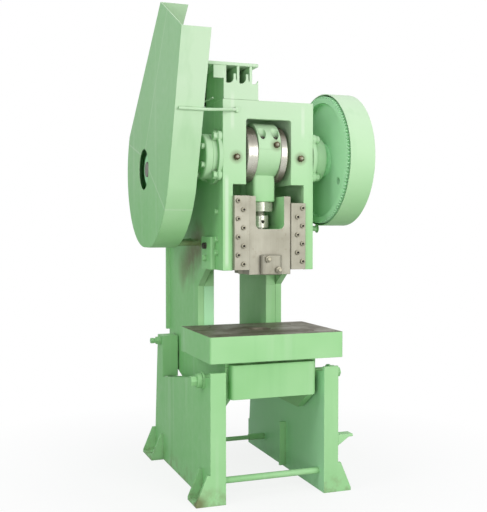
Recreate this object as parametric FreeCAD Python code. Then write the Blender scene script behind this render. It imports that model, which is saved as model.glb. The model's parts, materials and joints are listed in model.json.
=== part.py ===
import FreeCAD, Part
import math
import os

# Inclinable geared C-frame stamping press, free standing.
# Millimetres. X runs across the press, Y from the operator to the back, Z up.
# Design coordinates have X = 0 on the middle plane and Y = 0 on the front of the legs.

Vec = FreeCAD.Vector
X_AXIS = Vec(1, 0, 0)
Y_AXIS = Vec(0, 1, 0)
Z_AXIS = Vec(0, 0, 1)

# ---- clearances -------------------------------------------------------------
run_fit = 0.05            # radial clearance of a shaft in its bearing
body_gap = 0.3            # gap between faces that slide or pass each other
bolt_gap = 0.5            # radial clearance of a bolt in a plain hole
head_share = 0.65         # height of a hexagon head as a share of its width
near = 1.0                # how close an edge lies to the place it is looked for

# ---- stand ------------------------------------------------------------------
leg_gap = 16.0            # from a side plate of the frame to the leg beside it
leg_width = 69.0
leg_wall = 12.0
leg_flange = 16.0         # thickness of the front flange
leg_depth = 950.0         # Y of the rear lower corner
leg_front_top = 560.0     # top of the front flange
leg_side_top = 540.0      # top edge of the side plate at the front
leg_side_back = 420.0     # top edge of the side plate at the rear post
post_inset = 170.0        # from the front face of the rear post to the end of the leg
post_depth = 100.0
post_top = 624.0
post_lap = 10.0           # how far the rear post stands inwards of the leg
foot_reach = 63.0         # how far a foot stands out from the leg
foot_height = 130.0
foot_plate = 14.0         # thickness of gussets and pads
front_foot_span = 126.0   # Y over the front pair of gussets
rear_foot_span = 180.0    # Y from the start of the rear foot to the end of the leg
foot_bolt_d = 18.0
foot_bolt_out = 35.0
rib_y = 430.0
rib_height = 225.0
rib_depth = 34.0
lug_out = 73.0            # how far the lug stands out from the right leg
lug_depth = 50.0
lug_top = 253.0
lug_plate = 12.0
lug_low = 205.0
lug_gusset_in = 20.0      # how far the gusset stays behind the end of the lug

# ---- incline pivot ----------------------------------------------------------
pivot_y = 108.0
pivot_z = 515.0
pivot_d = 50.0
pivot_head_d = 62.0
pivot_head = 22.0
pivot_boss = 8.0          # raised seat under the pivot head
pivot_boss_d = 74.0
pivot_hex_af = 40.0
clamp_d = 24.0
clamp_tail = 34.0         # how far the clamp screw stands out
clamp_inset = 48.0        # from the front face of the post to the clamp screw
clamp_z = 598.0
clamp_nut_af = 36.0
clamp_head_af = 26.0

# ---- tie rods ---------------------------------------------------------------
rod_z = 87.0
front_rod_y = 60.0
rear_rod_y = 720.0
front_rod_d = 28.0
rear_rod_d = 22.0
rear_sleeve_d = 32.0
rear_sleeve_l = 85.0

# ---- C frame ----------------------------------------------------------------
frame_half = 212.0        # X of the outer face of a side plate
side_wall = 30.0
throat_y = 452.0
throat_flange_w = 80.0
throat_flange_t = 70.0
frame_back = 965.0
frame_bottom = 350.0
bed_top = 603.0           # underside of the table
bed_thick = 30.0
head_front = 87.0         # Y of the face of the front plate
head_plate = 30.0
head_bottom = 985.0
head_slope_y = 325.0      # where the underside of the head starts to slope
throat_top = 897.0
head_top = 1720.0
roof_thick = 20.0
shelf_y = 60.0            # front of the frame below the table
shelf_slope = 130.0
back_low_in = 85.0        # rear lower corner of the side plate, forwards and up
back_low_rise = 120.0
back_low_z = 560.0        # where the back starts to run straight up
roof_slope = 165.0        # how far the back slopes forwards to the roof
frame_shoulder = 1500.0   # where the back starts to slope to the roof
back_flange_w = 20.0
back_flange_t = 15.0
back_flange_low = 640.0
rear_web_t = 20.0
rear_web_low = 960.0
rear_gap_low = 650.0
window_round = 12.0
web_wall = 14.0
web_back = 330.0
apron_y = 20.0
apron_t = 40.0
apron_inset = 15.0        # from the outer face of the frame to the end of the apron
apron_top = 585.0
apron_low = 437.0
apron_round = 18.0

# ---- table ------------------------------------------------------------------
table_half = 306.0
table_front = -25.0
table_back = 415.0
table_top = 715.0
table_edge = 5.0
slug_hole_d = 100.0
slug_relief = 10.0        # how much wider all round the hole in the bed plate is
die_hole_d = 20.0
die_hole_deep = 40.0
die_pitch_x = 400.0
die_pitch_y = 260.0
table_bolt_in = 32.0      # from the inner face of the frame to a table bolt
table_bolt_y = 110.0
table_bolt_af = 30.0

# ---- crank line -------------------------------------------------------------
crank_y = 195.0
crank_z = 1480.0
stroke = 60.0
journal_d = 110.0
pin_d = 120.0
cheek_d = 250.0
cheek_gap = 1.0           # side play of the rod between the cheeks
cheek_w = 31.0
strap_bore = 170.0
strap_d = 248.0
strap_half = 52.0
window_half = 105.0
window_top = 1640.0
gib_step_z = 1357.0
web_step = 3.0            # from the side of the window to the bearing web
housing_r = 98.0          # outer collar of a crank housing
housing_bore_r = 77.0     # body of a crank housing inside the side plate
housing_reach = 38.0      # how far the left crank housing stands out of the frame
gear_clear = 8.0          # gap between the long crank housing and the gear
cover_thick = 33.0
bush_wall = 10.0
flange_r = 118.0
flange_t = 18.0
flange_bolts = 4
flange_bolt_angle = 45.0
ear_d = 44.0
flange_bolt_af = 30.0
cover_pocket = 12.0
cover_bolt_count = 6
cover_bolt_r = 78.0
cover_bolt_af = 22.0
cover_bolt_angle = 30.0
cover_edge = 6.0
cover_gap = 3.0           # radial gap round the shaft end in the cover
crank_tail = 5.0          # how far the shaft end reaches into the cover
seat_tail = 12.0          # how far the gear seat stands out of the collar
cheek_chamfer = 3.0
collar_w = 18.0           # retaining collar beside the gear
shank_low_d = 99.0
shank_high_d = 103.0
shank_top_drop = 60.0     # top of the shank below the middle of the strap
cap_bolt_x = 30.0
cap_bolt_y = 98.0
cap_seat = 40.0
cap_bolt_af = 24.0
spot_face_d = 36.0

# ---- slide and gibs ---------------------------------------------------------
slide_half = 97.0
slide_top = 1307.0
slide_bottom = 966.0
slide_face_y = 72.0
slide_depth = 190.0
notch_half = 66.0
notch_z = 1164.0
notch_round = 22.0
gib_inset = 16.0          # from the inner face of the frame to the gib
gib_top = 1308.0          # top of the left gib and of the plate behind the slide
right_gib_top = 1278.0
gib_bottom = 987.0
gib_face_y = 65.0
vee_depth = 16.0
screw_d = 42.0            # adjusting screw
ball_d = 78.0
ball_z = 1124.0
nut_af = 98.0
nut_low = 1242.0
nut_high = 1285.0
nut_chamfer = 3.0
screw_grip = 62.0         # thread held in the rod at the lowest setting
screw_end_gap = 4.0
neck_d = 50.0
neck_gap = 6.0            # play between the slide and the wrench collar
collar_d = 76.0
collar_drop = 18.0
wrench_hole_d = 16.0
tool_hole_d = 38.0
tool_hole_deep = 75.0
clamp_half = 47.0
clamp_out = 30.0
clamp_tall = 86.0
clamp_edge = 10.0
stud_nut_af = 26.0
stud_shares = ((-0.5, 0.8), (0.55, 0.25))  # stud places as shares of the clamp
stud_d = 16.0
stud_l = 26.0
back_plate_t = 25.0
left_screw_count = 8
right_screw_count = 7
gib_screw_x = 150.0
gib_screw_stagger = 24.0
gib_screw_top = 22.0
gib_screw_pitch = 39.0
gib_screw_d = 20.0
gib_screw_h = 9.0
side_screw_z = (1240.0, 1119.0, 1062.0)
side_screw_y = 160.0
side_screw_af = 22.0
adjust_down = 20.0
adjust_up = 8.0

# ---- gear train -------------------------------------------------------------
module = 5.0
gear_teeth = 114
pinion_teeth = 24
tip_share = 0.85          # tooth height above the pitch circle in modules
root_share = 1.15
tooth_share = 0.44        # tooth thickness at the pitch circle as a share of the pitch
pressure_angle = 20.0
gear_reach = 80.0         # from the frame to the inner face of the gear
gear_face = 70.0
gear_web = 22.0
gear_hub_d = 150.0
gear_bore_d = 90.0
gear_collar_d = 140.0
gear_rim = 26.0
gear_hole_r = 178.0
gear_hole_d = 32.0
gear_hole_count = 2
gear_hole_angle = -145.0
pinion_extra = 10.0
back_shaft_z = 1443.0
back_shaft_d = 70.0
back_housing_r = 60.0
back_flange_r = 84.0
back_housing_taper = 6.0
shaft_tail = 6.0

# ---- guards -----------------------------------------------------------------
guard_past_gear = 8.0     # open edge of the gear guard past the inner face of the gear
guard_end_gap = 22.0      # from the end of the crankshaft to the guard
gear_guard_gap = 6.0
gear_guard_wall = 4.0
belt_guard_gap = 20.0     # from the outer face of the flywheel to that of the guard
belt_edge_gap = 9.0       # open edge of the guard past the inner face of the flywheel
belt_wall = 4.0
belt_top_z = 2138.0
belt_hole_d = 190.0
belt_guard_back_r = 364.0
belt_arc_y = 520.0
belt_top_rear_y = 215.0
belt_top_front_y = -112.0
belt_front_z = 1965.0
belt_front_y = 100.0
belt_front_low_z = 1340.0
belt_front_mid_y = 222.0
belt_front_mid_z = 1175.0
belt_front_low_y = 430.0
belt_arc_angle = 30.0     # where the rear arc meets the sloping band
belt_mouth = 40.0         # height of the cut that opens the slanted top
standoff_d = 24.0
ear_lip = 8.0             # width of an ear round its standoff
ear_gap = 4.0             # distance from a standoff to the guard wall
belt_ear_back = 60.0
belt_ear_rise = 6.0
belt_ear_angle = 20.0
gear_guard_angles = (40.0, -60.0, -82.0)

# ---- fittings ---------------------------------------------------------------
nipple_boss_d = 26.0
nipple_boss_l = 6.0
nipple_af = 13.0
nipple_hex_l = 9.0
nipple_base_r = 4.5
nipple_end_r = 2.9
nipple_x = 150.0
nipple_z = 1474.0
rod_nipple_x = 30.0
rod_nipple_lift = 20.0
bracket_out = 22.0
bracket_y0 = 190.0
bracket_y1 = 330.0
bracket_z0 = 985.0
bracket_z1 = 1130.0
bracket_edge = 6.0
bracket_bolt_af = 24.0
bracket_bolt_drop = 40.0
bracket_bolt_pitch = 55.0
stay_d = 12.0
stay_z = 1655.0
stay_end = 150.0          # how far left of the middle the stay meets the head
stay_rise = 20.0          # how much higher it is there
stay_tail = 14.0
stay_gap = 0.9            # gap to the leaning band, measured along Y
stay_eye_gap = 4.0
stay_eye_d = 24.0

# ---- flywheel ---------------------------------------------------------------
flywheel_d = 640.0
flywheel_reach = 123.0    # from the frame to the inner face of the flywheel
flywheel_face = 95.0
flywheel_rim = 62.0
flywheel_web = 24.0
flywheel_hub_d = 140.0
groove_count = 3
groove_pitch = 19.0
groove_deep = 14.0
groove_half = 7.5          # half width of a belt groove at its mouth
groove_low = 3.0

# ---- motor stand ------------------------------------------------------------
stand_inset = 4.0         # from the outer face of the frame to the end of the stand
stand_width = 158.0
stand_top = 1829.0
stand_depth = 260.0
stand_wall = 12.0
rib_steps = (0.0, 60.0, 118.0)  # places of the ribs from the left end of the stand
scallop_d = 46.0
scallop_pitch = 57.0
scallop_drop = 18.0       # centre of a scallop below the top edge
stand_lug = 45.0          # how far the lug stands out on the left
stand_lug_low = 1807.0
motor_foot_x = 70.0
motor_slot_w = 12.0
motor_slot_l = 40.0
motor_slot_pitch = 140.0
motor_slot_in = 40.0
motor_plate_z = 1862.0
motor_plate_t = 14.0
motor_plate_out = 76.0    # how far the plate stands out on the left of the stand
motor_plate_width = 208.0
motor_lip_front = 4.0
motor_lip_back = 20.0

inner_half = frame_half - side_wall
leg_inner = frame_half + leg_gap
leg_outer = leg_inner + leg_width
post_inner = leg_inner - post_lap
apron_half = frame_half - apron_inset
table_bolt_x = inner_half - table_bolt_in
gib_out = inner_half - gib_inset
web_in = window_half + web_step
housing_out = frame_half + housing_reach
cover_out = housing_out + cover_thick
gear_x = frame_half + gear_reach
housing_long = gear_x - gear_clear
flywheel_in = frame_half + flywheel_reach
stand_left = stand_inset - frame_half
stand_right = stand_left + stand_width
motor_plate_left = stand_left - motor_plate_out
motor_plate_right = motor_plate_left + motor_plate_width
post_front = leg_depth - post_inset
clamp_y = post_front + clamp_inset
foot_bolt_x = leg_outer + foot_bolt_out
half_throw = stroke / 4.0
cheek_in = strap_half + cheek_gap
cheek_out = cheek_in + cheek_w
shank_bore_depth = screw_grip + adjust_up + adjust_down
centre_distance = module * (gear_teeth + pinion_teeth) / 2.0
back_shaft_y = crank_y + math.sqrt(centre_distance ** 2 - (crank_z - back_shaft_z) ** 2)
strap_z = crank_z + 2.0 * half_throw
gear_guard_r = module * gear_teeth / 2.0 + module + gear_guard_gap
gear_guard_in = gear_x + guard_past_gear
shaft_end = gear_x + gear_face + collar_w + seat_tail
gear_guard_out = shaft_end + guard_end_gap + gear_guard_wall
belt_guard_in = flywheel_in - belt_edge_gap
belt_guard_out = flywheel_in + flywheel_face + belt_guard_gap

# ---- row origin: middle of the footprint box --------------------------------
box_left = -belt_guard_out
box_right = gear_guard_out
box_front = min(crank_y - gear_guard_r - gear_guard_wall, belt_top_front_y)
box_back = frame_back
ORIGIN = Vec(-(box_left + box_right) / 2.0, -(box_front + box_back) / 2.0, 0)

PARTS = {}


def box(x0, x1, y0, y1, z0, z1):
    return Part.makeBox(x1 - x0, y1 - y0, z1 - z0, Vec(x0, y0, z0))


def rod_x(y, z, d, x0, x1):
    return Part.makeCylinder(d / 2.0, x1 - x0, Vec(x0, y, z), X_AXIS)


def rod_y(x, z, d, y0, y1):
    return Part.makeCylinder(d / 2.0, y1 - y0, Vec(x, y0, z), Y_AXIS)


def rod_z_axis(x, y, d, z0, z1):
    return Part.makeCylinder(d / 2.0, z1 - z0, Vec(x, y, z0), Z_AXIS)


def plate_yz(points, x0, x1):
    """Plate with a polygon outline in Y and Z, from x0 to x1."""
    corners = [Vec(x0, y, z) for y, z in points]
    wire = Part.makePolygon(corners + [corners[0]])
    return Part.Face(wire).extrude(Vec(x1 - x0, 0, 0))


def plate_xz(points, y0, y1):
    """Plate with a polygon outline in X and Z, from y0 to y1."""
    corners = [Vec(x, y0, z) for x, z in points]
    wire = Part.makePolygon(corners + [corners[0]])
    return Part.Face(wire).extrude(Vec(0, y1 - y0, 0))


def plate_xy(points, z0, z1):
    """Plate with a polygon outline in X and Y, from z0 to z1."""
    corners = [Vec(x, y, z0) for x, y in points]
    wire = Part.makePolygon(corners + [corners[0]])
    return Part.Face(wire).extrude(Vec(0, 0, z1 - z0))


def hexagon(across, height, base, axis):
    """Hexagon prism of a nut or bolt head, standing on base along axis."""
    radius = across / math.sqrt(3.0)
    side = Y_AXIS if abs(axis.dot(Y_AXIS)) < 0.5 else X_AXIS
    other = axis.cross(side)
    corners = []
    for i in range(6):
        a = math.radians(60.0 * i)
        corners.append(base + side * (radius * math.cos(a)) + other * (radius * math.sin(a)))
    wire = Part.makePolygon(corners + [corners[0]])
    return Part.Face(wire).extrude(axis * height)


def bolt_head(across, base, axis):
    return hexagon(across, across * head_share, base, axis)


def turned(profile, y, z):
    """Solid of revolution about the X line through (y, z). profile holds (x, radius)."""
    corners = [Vec(x, y, z + r) for x, r in profile]
    wire = Part.makePolygon(corners + [corners[0]])
    return Part.Face(wire).revolve(Vec(0, y, z), X_AXIS, 360)


def mirrored(shape):
    return shape.mirror(Vec(0, 0, 0), X_AXIS)


def round_edges(shape, radius, chosen):
    edges = [e for e in shape.Edges if chosen(e)]
    return shape.makeFillet(radius, edges)


def along(edge, axis):
    """True where a straight edge runs along the axis."""
    if not isinstance(edge.Curve, Part.Line):
        return False
    return abs(abs(edge.Curve.Direction.dot(axis)) - 1.0) < 1e-6


def keep(name, shape):
    PARTS[name] = shape


# ---- stand ------------------------------------------------------------------
def side_of_leg(x0, x1):
    """One side plate of a leg, its top edge falling to the rear post."""
    post_back = post_front + post_depth
    outline = [(0, 0), (leg_depth, 0), (post_back, post_top), (post_front, post_top)]
    outline += [(post_front, leg_side_back), (leg_flange, leg_side_top), (0, leg_side_top)]
    return plate_yz(outline, x0, x1)


def foot(y0, y1):
    """Two gussets on a floor pad with one anchor hole."""
    far = leg_outer + foot_reach
    outline = [(leg_outer, 0), (far, 0), (far, foot_plate)]
    outline += [(leg_outer + foot_plate, foot_height), (leg_outer, foot_height)]
    front = plate_xz(outline, y0, y0 + foot_plate)
    back = plate_xz(outline, y1 - foot_plate, y1)
    pad = box(leg_outer, far, y0, y1, 0, foot_plate)
    hole = rod_z_axis(foot_bolt_x, (y0 + y1) / 2.0, foot_bolt_d, 0, foot_plate)
    return front.fuse([back, pad]).cut(hole)


def make_leg():
    outer = side_of_leg(leg_outer - leg_wall, leg_outer)
    inner = side_of_leg(leg_inner, leg_inner + leg_wall)
    flange = box(leg_inner, leg_outer, 0, leg_flange, 0, leg_front_top)
    post_back = post_front + post_depth
    post = box(post_inner, leg_outer, post_front, post_back, leg_side_back, post_top)
    core = box(post_inner + leg_wall, leg_outer - leg_wall, post_front + leg_wall,
               post_back - leg_wall, leg_side_back, post_top - leg_wall)
    rear = box(leg_inner, leg_outer, leg_depth - leg_wall, leg_depth, 0, foot_height)
    rib = box(leg_inner - rib_depth, leg_inner, rib_y - leg_wall / 2.0, rib_y + leg_wall / 2.0,
              foot_plate, rib_height)
    boss = rod_x(pivot_y, pivot_z, pivot_boss_d, leg_outer, leg_outer + pivot_boss)
    leg = outer.fuse([inner, flange, post.cut(core), rear, rib, boss])
    leg = leg.fuse([foot(0, front_foot_span), foot(leg_depth - rear_foot_span, leg_depth)])
    bore = rod_x(pivot_y, pivot_z, pivot_d + 2 * bolt_gap, leg_inner, leg_outer + pivot_boss)
    clamp = rod_x(clamp_y, clamp_z, clamp_d + 2 * run_fit, post_inner, leg_outer)
    return leg.cut(bore.fuse(clamp)).removeSplitter()


def make_leg_lug():
    """Small shelf with a gusset on the outer face of the right leg."""
    end = leg_outer + lug_out
    shelf = box(leg_outer, end, 0, lug_depth, lug_top - lug_plate, lug_top)
    outline = [(leg_outer, lug_low), (leg_outer, lug_top - lug_plate)]
    outline += [(end - lug_gusset_in, lug_top - lug_plate)]
    return shelf.fuse(plate_xz(outline, 0, lug_plate)).removeSplitter()


def make_pivot_bolt():
    """Pivot pin with a round head outside the leg and a hexagon on it."""
    seat = leg_outer + pivot_boss
    shank = rod_x(pivot_y, pivot_z, pivot_d, inner_half, seat)
    head = rod_x(pivot_y, pivot_z, pivot_head_d, seat, seat + pivot_head)
    face = Vec(seat + pivot_head, pivot_y, pivot_z)
    nut = bolt_head(pivot_hex_af, face, X_AXIS)
    return shank.fuse([head, nut]).removeSplitter()


def make_clamp_bolt():
    """Clamp screw through the rear post, its tip by the frame side plate."""
    tip = frame_half + body_gap
    shank = rod_x(clamp_y, clamp_z, clamp_d, tip, leg_outer + clamp_tail)
    nut = bolt_head(clamp_nut_af, Vec(leg_outer, clamp_y, clamp_z), X_AXIS)
    end = Vec(leg_outer + clamp_tail, clamp_y, clamp_z)
    head = bolt_head(clamp_head_af, end, X_AXIS)
    return shank.fuse([nut, head]).removeSplitter()


right_leg = make_leg()
keep("right_leg", right_leg)
keep("left_leg", mirrored(right_leg))
keep("leg_lug", make_leg_lug())
pivot_bolt = make_pivot_bolt()
keep("pivot_bolts", Part.makeCompound([pivot_bolt, mirrored(pivot_bolt)]))
clamp_bolt = make_clamp_bolt()
keep("clamp_bolts", Part.makeCompound([clamp_bolt, mirrored(clamp_bolt)]))
keep("front_tie_rod", rod_x(front_rod_y, rod_z, front_rod_d, -leg_inner, leg_inner))
rear_rod = rod_x(rear_rod_y, rod_z, rear_rod_d, -leg_inner, leg_inner)
sleeve = rod_x(rear_rod_y, rod_z, rear_sleeve_d, leg_inner - rear_sleeve_l, leg_inner)
keep("rear_tie_rod", rear_rod.fuse([sleeve, mirrored(sleeve)]).removeSplitter())


# ---- C frame ----------------------------------------------------------------
def make_side_plate():
    """Right side plate: throat, bed shelf and head in one cut plate."""
    behind = head_front + head_plate
    outline = [(behind, head_bottom), (head_slope_y, head_bottom), (throat_y, throat_top)]
    outline += [(throat_y, bed_top - bed_thick), (shelf_y, bed_top - bed_thick)]
    outline += [(shelf_y, apron_low), (shelf_y + shelf_slope, frame_bottom), (throat_y, frame_bottom)]
    outline += [(frame_back - back_low_in, frame_bottom + back_low_rise), (frame_back, back_low_z)]
    outline += [(frame_back, frame_shoulder), (frame_back - roof_slope, head_top), (behind, head_top)]
    plate = plate_yz(outline, inner_half, frame_half)
    flange = box(frame_half, frame_half + back_flange_w, frame_back - back_flange_t, frame_back,
                 back_flange_low, frame_shoulder)
    plate = plate.fuse(flange)
    crank_bore = rod_x(crank_y, crank_z, 2 * housing_bore_r, inner_half, frame_half)
    shaft_bore = rod_x(back_shaft_y, back_shaft_z, 2 * back_housing_r, inner_half, frame_half)
    pivot = rod_x(pivot_y, pivot_z, pivot_d + 2 * run_fit, inner_half, frame_half)
    return plate.cut(crank_bore.fuse([shaft_bore, pivot])).removeSplitter()


def make_front_plate():
    """Front plate of the head with the crank window and the wider gib opening."""
    outline = [(-frame_half, head_bottom), (-gib_out, head_bottom)]
    outline += [(-gib_out, gib_step_z), (-window_half, gib_step_z)]
    outline += [(-window_half, window_top), (window_half, window_top)]
    outline += [(window_half, gib_step_z), (gib_out, gib_step_z)]
    outline += [(gib_out, head_bottom), (frame_half, head_bottom)]
    outline += [(frame_half, head_top), (-frame_half, head_top)]
    plate = plate_xz(outline, head_front, head_front + head_plate)

    def top_corner(edge):
        mid = edge.CenterOfMass
        return along(edge, Y_AXIS) and abs(mid.z - window_top) < near
    return round_edges(plate, window_round, top_corner)


def make_web():
    """Bearing web beside the window, from the front plate to behind the crank."""
    behind = head_front + head_plate
    web = box(web_in, web_in + web_wall, behind, web_back, gib_step_z, head_top - roof_thick)
    return web.cut(rod_x(crank_y, crank_z, 2 * housing_bore_r, web_in, web_in + web_wall))


def make_apron():
    apron = box(-apron_half, apron_half, apron_y, apron_y + apron_t, apron_low, apron_top)

    def front_corner(edge):
        return along(edge, Z_AXIS) and abs(edge.CenterOfMass.y - apron_y) < near
    return round_edges(apron, apron_round, front_corner)


def make_table():
    """Work table with a slug hole and four tapped die holes."""
    slab = box(-table_half, table_half, table_front, table_back, bed_top, table_top)
    slab = slab.makeChamfer(table_edge, [e for e in slab.Edges if along(e, Z_AXIS)])
    slug = rod_z_axis(0, crank_y, slug_hole_d, bed_top, table_top)
    holes = [slug]
    for sx in (-1, 1):
        for sy in (-1, 1):
            x = sx * die_pitch_x / 2.0
            y = crank_y + sy * die_pitch_y / 2.0
            holes.append(rod_z_axis(x, y, die_hole_d, table_top - die_hole_deep, table_top))
    return slab.cut(holes)


side_plate = make_side_plate()
keep("frame_right_side", side_plate)
keep("frame_left_side", mirrored(side_plate))
flange = box(inner_half - throat_flange_w + side_wall, inner_half, throat_y,
             throat_y + throat_flange_t, bed_top, throat_top)
keep("throat_flanges", Part.makeCompound([flange, mirrored(flange)]))
keep("head_front_plate", make_front_plate())
keep("head_roof", box(-inner_half, inner_half, head_front + head_plate, frame_back - roof_slope,
                      head_top - roof_thick, head_top))
web = make_web()
keep("bearing_webs", Part.makeCompound([web, mirrored(web)]))
keep("rear_upper_web", box(-inner_half, inner_half, frame_back - rear_web_t, frame_back,
                           rear_web_low, frame_shoulder))
keep("rear_lower_web", box(-inner_half, inner_half, frame_back - rear_web_t, frame_back,
                           back_low_z, rear_gap_low))
slug_cut = rod_z_axis(0, crank_y, slug_hole_d + 2 * slug_relief, bed_top - bed_thick, bed_top)
bed = box(-frame_half, frame_half, shelf_y, throat_y, bed_top - bed_thick, bed_top)
keep("bed_plate", bed.cut(slug_cut))
keep("apron", make_apron())
keep("table", make_table())

table_bolts = []
for sx in (-1, 1):
    for sy in (-1, 1):
        bolt_x = sx * table_bolt_x
        bolt_y = crank_y + sy * table_bolt_y
        base = Vec(bolt_x, bolt_y, bed_top - bed_thick)
        table_bolts.append(bolt_head(table_bolt_af, base, -Z_AXIS))
keep("table_bolts", Part.makeCompound(table_bolts))


# ---- motor stand ------------------------------------------------------------
def make_motor_stand():
    """Scalloped front plate with three ribs that carry the motor plate."""
    front = box(stand_left, stand_right, head_front, head_front + stand_wall, head_top, stand_top)
    ribs = []
    for step in rib_steps:
        x = stand_left + step
        ribs.append(box(x, x + stand_wall, head_front, head_front + stand_depth, head_top,
                        motor_plate_z))
    stand = front.fuse(ribs)
    middle = (stand_left + stand_right) / 2.0
    for x in (middle - scallop_pitch, middle, middle + scallop_pitch):
        centre = stand_top - scallop_drop
        notch = rod_y(x, centre, scallop_d, head_front, head_front + stand_wall)
        notch = notch.fuse(box(x - scallop_d / 2.0, x + scallop_d / 2.0, head_front,
                               head_front + stand_wall, centre, stand_top))
        for rib in ribs:
            notch = notch.cut(rib)
        stand = stand.cut(notch)
    lug = box(stand_left - stand_lug, stand_left, head_front, head_front + stand_wall,
              stand_lug_low, motor_plate_z)
    return stand.fuse(lug).removeSplitter()


def make_motor_plate():
    """Motor base plate with four slots for a foot mounted motor."""
    plate = box(motor_plate_left, motor_plate_right, head_front - motor_lip_front,
                head_front + stand_depth + motor_lip_back, motor_plate_z, motor_plate_z + motor_plate_t)
    middle = (motor_plate_left + motor_plate_right) / 2.0
    for sx in (-1, 1):
        for y in (head_front + motor_slot_in, head_front + motor_slot_in + motor_slot_pitch):
            x = middle + sx * motor_foot_x
            slot = box(x - motor_slot_w / 2.0, x + motor_slot_w / 2.0, y, y + motor_slot_l,
                       motor_plate_z, motor_plate_z + motor_plate_t)
            plate = plate.cut(slot)
    return plate


keep("motor_stand", make_motor_stand())
keep("motor_plate", make_motor_plate())


# ---- crank line -------------------------------------------------------------
def make_housing(out):
    """Cast crank bearing housing through the side plate, with a bolting flange."""
    bore_r = journal_d / 2.0 + run_fit + bush_wall
    profile = [(web_in, bore_r), (web_in, housing_bore_r), (frame_half, housing_bore_r)]
    profile += [(frame_half, flange_r), (frame_half + flange_t, flange_r)]
    profile += [(frame_half + flange_t, housing_r), (out, housing_r), (out, bore_r)]
    housing = turned(profile, crank_y, crank_z)
    ears = []
    for i in range(flange_bolts):
        a = math.radians(flange_bolt_angle + 360.0 * i / flange_bolts)
        y = crank_y + flange_r * math.cos(a)
        z = crank_z + flange_r * math.sin(a)
        ears.append(rod_x(y, z, ear_d, frame_half, frame_half + flange_t))
    return housing.fuse(ears).removeSplitter()


def make_housing_bolts(x, sign):
    bolts = []
    for i in range(flange_bolts):
        a = math.radians(flange_bolt_angle + 360.0 * i / flange_bolts)
        y = crank_y + flange_r * math.cos(a)
        z = crank_z + flange_r * math.sin(a)
        bolts.append(bolt_head(flange_bolt_af, Vec(sign * x, y, z), X_AXIS * sign))
    return bolts


def make_bush(out):
    inner = journal_d / 2.0 + run_fit
    ring = rod_x(crank_y, crank_z, 2 * (inner + bush_wall), web_in, out)
    return ring.cut(rod_x(crank_y, crank_z, 2 * inner, web_in, out))


def make_end_cover():
    """Round cover over the left end of the crankshaft."""
    profile = [(-housing_out, 0), (-housing_out, housing_r), (-cover_out + cover_edge, housing_r)]
    profile += [(-cover_out, housing_r - cover_edge), (-cover_out, 0)]
    cover = turned(profile, crank_y, crank_z)
    pocket = rod_x(crank_y, crank_z, journal_d + 2 * cover_gap, -housing_out - cover_pocket,
                   -housing_out)
    return cover.cut(pocket)


def make_crankshaft():
    """Forged crankshaft: journals, round cheeks and a short throw pin."""
    pin_z = crank_z + half_throw
    left = rod_x(crank_y, crank_z, journal_d, -housing_out - crank_tail, -cheek_in)
    right = rod_x(crank_y, crank_z, journal_d, cheek_in, gear_x)
    seat = rod_x(crank_y, crank_z, gear_bore_d, gear_x, shaft_end)
    pin = rod_x(crank_y, pin_z, pin_d, -cheek_in, cheek_in)
    shaft = left.fuse([right, seat, pin])
    for x0, x1 in ((-cheek_out, -cheek_in), (cheek_in, cheek_out)):
        cheek = rod_x(crank_y, pin_z, cheek_d, x0, x1)
        rims = [e for e in cheek.Edges if isinstance(e.Curve, Part.Circle)]
        shaft = shaft.fuse(cheek.makeChamfer(cheek_chamfer, rims))
    return shaft.removeSplitter()


def make_eccentric_bush():
    """Stroke bush between crank pin and rod, bored off centre."""
    width = strap_half
    outer = rod_x(crank_y, strap_z, strap_bore - 2 * run_fit, -width, width)
    return outer.cut(rod_x(crank_y, crank_z + half_throw, pin_d + 2 * run_fit, -width, width))


def make_rod():
    """Connecting rod: lower half of the strap, tapered shank and screw bore."""
    ring = rod_x(crank_y, strap_z, strap_d, -strap_half, strap_half)
    base = Vec(0, crank_y, nut_high)
    tall = strap_z - shank_top_drop - nut_high
    shank = Part.makeCone(shank_low_d / 2.0, shank_high_d / 2.0, tall, base)
    body = ring.fuse(shank)
    body = body.cut(rod_x(crank_y, strap_z, strap_bore, -strap_half, strap_half))
    body = body.cut(rod_z_axis(0, crank_y, screw_d + 2 * run_fit, nut_high,
                               nut_high + shank_bore_depth))
    upper = box(-strap_half, strap_half, crank_y - strap_d, crank_y + strap_d, strap_z,
                strap_z + strap_d)
    lower = body.cut(upper)
    cap = body.common(upper)
    return lower.removeSplitter(), cap.removeSplitter()


def make_cap_bolts(cap_only):
    """Four strap bolts with heads on flats of the cap."""
    bolts = []
    seats = []
    for sy in (-1, 1):
        for sx in (-1, 1):
            x = sx * cap_bolt_x
            y = crank_y + sy * cap_bolt_y
            seat_z = strap_z + cap_seat
            seats.append(rod_z_axis(x, y, spot_face_d, seat_z, seat_z + strap_d))
            bolts.append(bolt_head(cap_bolt_af, Vec(x, y, seat_z), Z_AXIS))
    return bolts, cap_only.cut(seats)


def make_lock_nut():
    """Large hexagon lock nut under the rod, chamfered at both ends."""
    base = Vec(0, crank_y, nut_low)
    tall = nut_high - nut_low
    nut = hexagon(nut_af, tall, base, Z_AXIS)
    narrow = nut_af / math.sqrt(3.0) - nut_chamfer
    cone_up = Part.makeCone(narrow + tall, narrow, tall, base)
    cone_down = Part.makeCone(narrow, narrow + tall, tall, base)
    nut = nut.common(cone_up).common(cone_down)
    return nut.cut(rod_z_axis(0, crank_y, screw_d + 2 * run_fit, nut_low, nut_high))


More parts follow.
